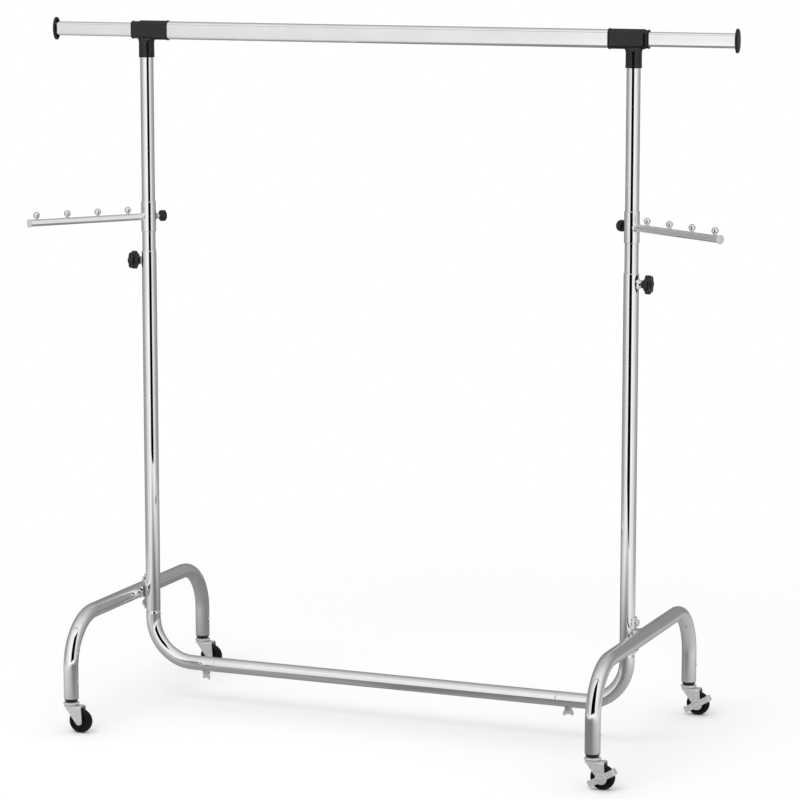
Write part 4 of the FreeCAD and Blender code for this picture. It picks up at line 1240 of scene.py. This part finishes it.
def make_world():
    """White to the eye; in gloss, bright on the camera's side and greyer behind the rack."""
    world = bpy.data.worlds.new("studio")
    world.use_nodes = True
    tree = world.node_tree
    tree.nodes.clear()
    out = tree.nodes.new("ShaderNodeOutputWorld")
    path = tree.nodes.new("ShaderNodeLightPath")
    place = tree.nodes.new("ShaderNodeTexCoord")
    heading = place.outputs["Generated"]
    level = share_to_front(tree, flat_heading(tree, heading))
    height = tree.nodes.new("ShaderNodeSeparateXYZ")
    tree.links.new(heading, height.inputs["Vector"])
    tone = tree.nodes.new("ShaderNodeMix")
    tone.data_type = "RGBA"
    tree.links.new(remap(tree, height.outputs["Z"], 0.0, 1.0, 0.25, 0.75), tone.inputs[0])
    tree.links.new(grey_ramp(tree, level, FAR_GREYS), tone.inputs[6])
    tree.links.new(grey_ramp(tree, share_to_front(tree, heading), CEILING_GREYS), tone.inputs[7])
    gloss = tree.nodes.new("ShaderNodeBackground")
    tree.links.new(tone.outputs[2], gloss.inputs["Color"])
    plain = add_node(tree, "ShaderNodeBackground", Color=(1, 1, 1, 1), Strength=WORLD_LEVEL)
    white = add_node(tree, "ShaderNodeBackground", Color=(1, 1, 1, 1), Strength=1.0)
    first = tree.nodes.new("ShaderNodeMixShader")
    second = tree.nodes.new("ShaderNodeMixShader")
    tree.links.new(path.outputs["Is Glossy Ray"], first.inputs["Fac"])
    tree.links.new(plain.outputs["Background"], first.inputs[1])
    tree.links.new(gloss.outputs["Background"], first.inputs[2])
    tree.links.new(path.outputs["Is Camera Ray"], second.inputs["Fac"])
    tree.links.new(first.outputs["Shader"], second.inputs[1])
    tree.links.new(white.outputs["Background"], second.inputs[2])
    tree.links.new(second.outputs["Shader"], out.inputs["Surface"])
    scene.world = world


def plane(name, centre, right, up, width, height):
    """A flat rectangle facing right x up."""
    r, u = right.normalized() * width / 2, up.normalized() * height / 2
    centre = Vector(centre)
    mesh = bpy.data.meshes.new(name)
    mesh.from_pydata([tuple(centre - r - u), tuple(centre + r - u), tuple(centre + r + u),
                      tuple(centre - r + u)], [], [(0, 1, 2, 3)])
    obj = bpy.data.objects.new(name, mesh)
    scene.collection.objects.link(obj)
    return obj


def make_floor():
    """White with the rack's soft shadow near it. To gloss rays it glows a painted reflection instead: grey near by
    and as the world far off.
    """
    material, tree, shader = new_material("floor")
    tree.nodes.remove(shader)
    out = tree.nodes["Material Output"]
    path = tree.nodes.new("ShaderNodeLightPath")
    place = tree.nodes.new("ShaderNodeTexCoord").outputs["Object"]
    length = tree.nodes.new("ShaderNodeVectorMath")
    length.operation = "LENGTH"
    tree.links.new(place, length.inputs[0])
    away = length.outputs["Value"]
    share = share_to_front(tree, flat_heading(tree, place))
    turned = add_node(tree, "ShaderNodeVectorRotate", Angle=-VIEW_AZIMUTH)
    shrunk = tree.nodes.new("ShaderNodeVectorMath")
    shrunk.operation = "MULTIPLY"
    shrunk.inputs[1].default_value = (1 / PAINTED_REFLECTION_WIDTH, 1 / PAINTED_REFLECTION_DEPTH, 0)
    reach = tree.nodes.new("ShaderNodeVectorMath")
    reach.operation = "LENGTH"
    tree.links.new(place, turned.inputs["Vector"])
    tree.links.new(turned.outputs["Vector"], shrunk.inputs[0])
    tree.links.new(shrunk.outputs["Vector"], reach.inputs[0])
    # painted reflection: for gloss rays only, the floor glows greys that are darkest near the rack and behind it
    tone = None
    for greys, limits in ((MID_GREYS, MID_FLOOR), (FAR_GREYS, FAR_FLOOR)):
        last = tone.outputs[2] if tone else grey_ramp(tree, share, NEAR_GREYS)
        tone = tree.nodes.new("ShaderNodeMix")
        tone.data_type = "RGBA"
        tree.links.new(remap(tree, reach.outputs["Value"], 0.0, 1.0, *limits), tone.inputs[0])
        tree.links.new(last, tone.inputs[6])
        tree.links.new(grey_ramp(tree, share, greys), tone.inputs[7])
    mirrored = tree.nodes.new("ShaderNodeEmission")
    tree.links.new(tone.outputs[2], mirrored.inputs["Color"])
    matt = add_node(tree, "ShaderNodeBsdfDiffuse", Color=(1.0, 1.0, 1.0, 1))
    white = add_node(tree, "ShaderNodeEmission", Color=(1, 1, 1, 1), Strength=1.0)
    fade = tree.nodes.new("ShaderNodeMixShader")
    tree.links.new(remap(tree, away, 0.0, 1.0, 0.9, 2.4), fade.inputs["Fac"])
    tree.links.new(matt.outputs["BSDF"], fade.inputs[1])
    tree.links.new(white.outputs["Emission"], fade.inputs[2])
    seen = tree.nodes.new("ShaderNodeMixShader")
    tree.links.new(path.outputs["Is Camera Ray"], seen.inputs["Fac"])
    tree.links.new(matt.outputs["BSDF"], seen.inputs[1])
    tree.links.new(fade.outputs["Shader"], seen.inputs[2])
    mix = tree.nodes.new("ShaderNodeMixShader")
    tree.links.new(path.outputs["Is Glossy Ray"], mix.inputs["Fac"])
    tree.links.new(seen.outputs["Shader"], mix.inputs[1])
    tree.links.new(mirrored.outputs["Emission"], mix.inputs[2])
    tree.links.new(mix.outputs["Shader"], out.inputs["Surface"])
    floor = plane("floor", (0, 0, 0), Vector((1, 0, 0)), Vector((0, 1, 0)), 60.0, 60.0)
    floor.data.materials.append(material)


def make_card(name, start, end, low, high, grey):
    """An upright studio card from one point to another of the floor plan, a painted dark reflection: only gloss
    sees it, and it glows its grey and casts no shade.
    """
    material, tree, shader = new_material(name)
    tree.nodes.remove(shader)
    glow = add_node(tree, "ShaderNodeEmission", Color=(grey, grey, grey, 1), Strength=1.0)
    tree.links.new(glow.outputs["Emission"], tree.nodes["Material Output"].inputs["Surface"])
    start, end = Vector((*start, 0)), Vector((*end, 0))
    card = plane(name, (start + end) / 2 + UP * ((low + high) / 2), end - start, UP,
                 (end - start).length, high - low)
    card.data.materials.append(material)
    card.visible_camera = False
    card.visible_diffuse = False
    card.visible_shadow = False
    card.visible_transmission = False
    card.visible_volume_scatter = False


def make_key_light():
    data = bpy.data.lights.new("key", "AREA")
    data.shape = "RECTANGLE"
    data.size = 3.0
    data.size_y = 2.4
    data.energy = KEY_ENERGY
    data.specular_factor = 0.3
    light = bpy.data.objects.new("key", data)
    light.location = TO_CAMERA * 2.6 - TO_RIGHT * 1.6 + UP * 4.2
    aim = Vector((0, 0, 0.6)) - light.location
    light.rotation_euler = aim.to_track_quat("-Z", "Y").to_euler()
    light.visible_glossy = False
    scene.collection.objects.link(light)


WORLD_LEVEL = 0.90
KEY_ENERGY = 45.0
FAR_GREYS = ((0.0, 0.24), (0.25, 0.34), (0.5, 0.42), (0.6, 0.50), (0.7, 0.76), (0.84, 0.82),
             (0.92, 1.0), (1.0, 1.0))
CEILING_GREYS = ((0.0, 0.35), (0.3, 0.5), (0.5, 0.74), (0.8, 1.0), (1.0, 1.0))
# the floor's painted reflection: greys that only gloss rays see, near, mid and far from the rack
NEAR_GREYS = ((0.0, 0.24), (0.5, 0.34), (1.0, 0.21))
MID_GREYS = ((0.0, 0.28), (0.3, 0.5), (0.5, 0.64), (0.7, 0.74), (1.0, 1.0))
MID_FLOOR = (0.45, 1.35)
FAR_FLOOR = (2.0, 2.5)
# size of the oval in which the floor's painted reflection stays grey
PAINTED_REFLECTION_WIDTH = 0.90
PAINTED_REFLECTION_DEPTH = 2.7

make_camera()
make_world()
make_floor()
make_key_light()
# painted reflections: a dark band down the front of the chrome, and a thin dark line high on it
make_card("dark_card", (0.20, -1.93), (1.12, -0.93), 0.2, 2.2, 0.003)
make_card("reflected_dark_line", (-1.9, -0.93), (1.9, -0.93), 2.01, 2.15, 0.03)
scene.view_settings.view_transform = "Standard"
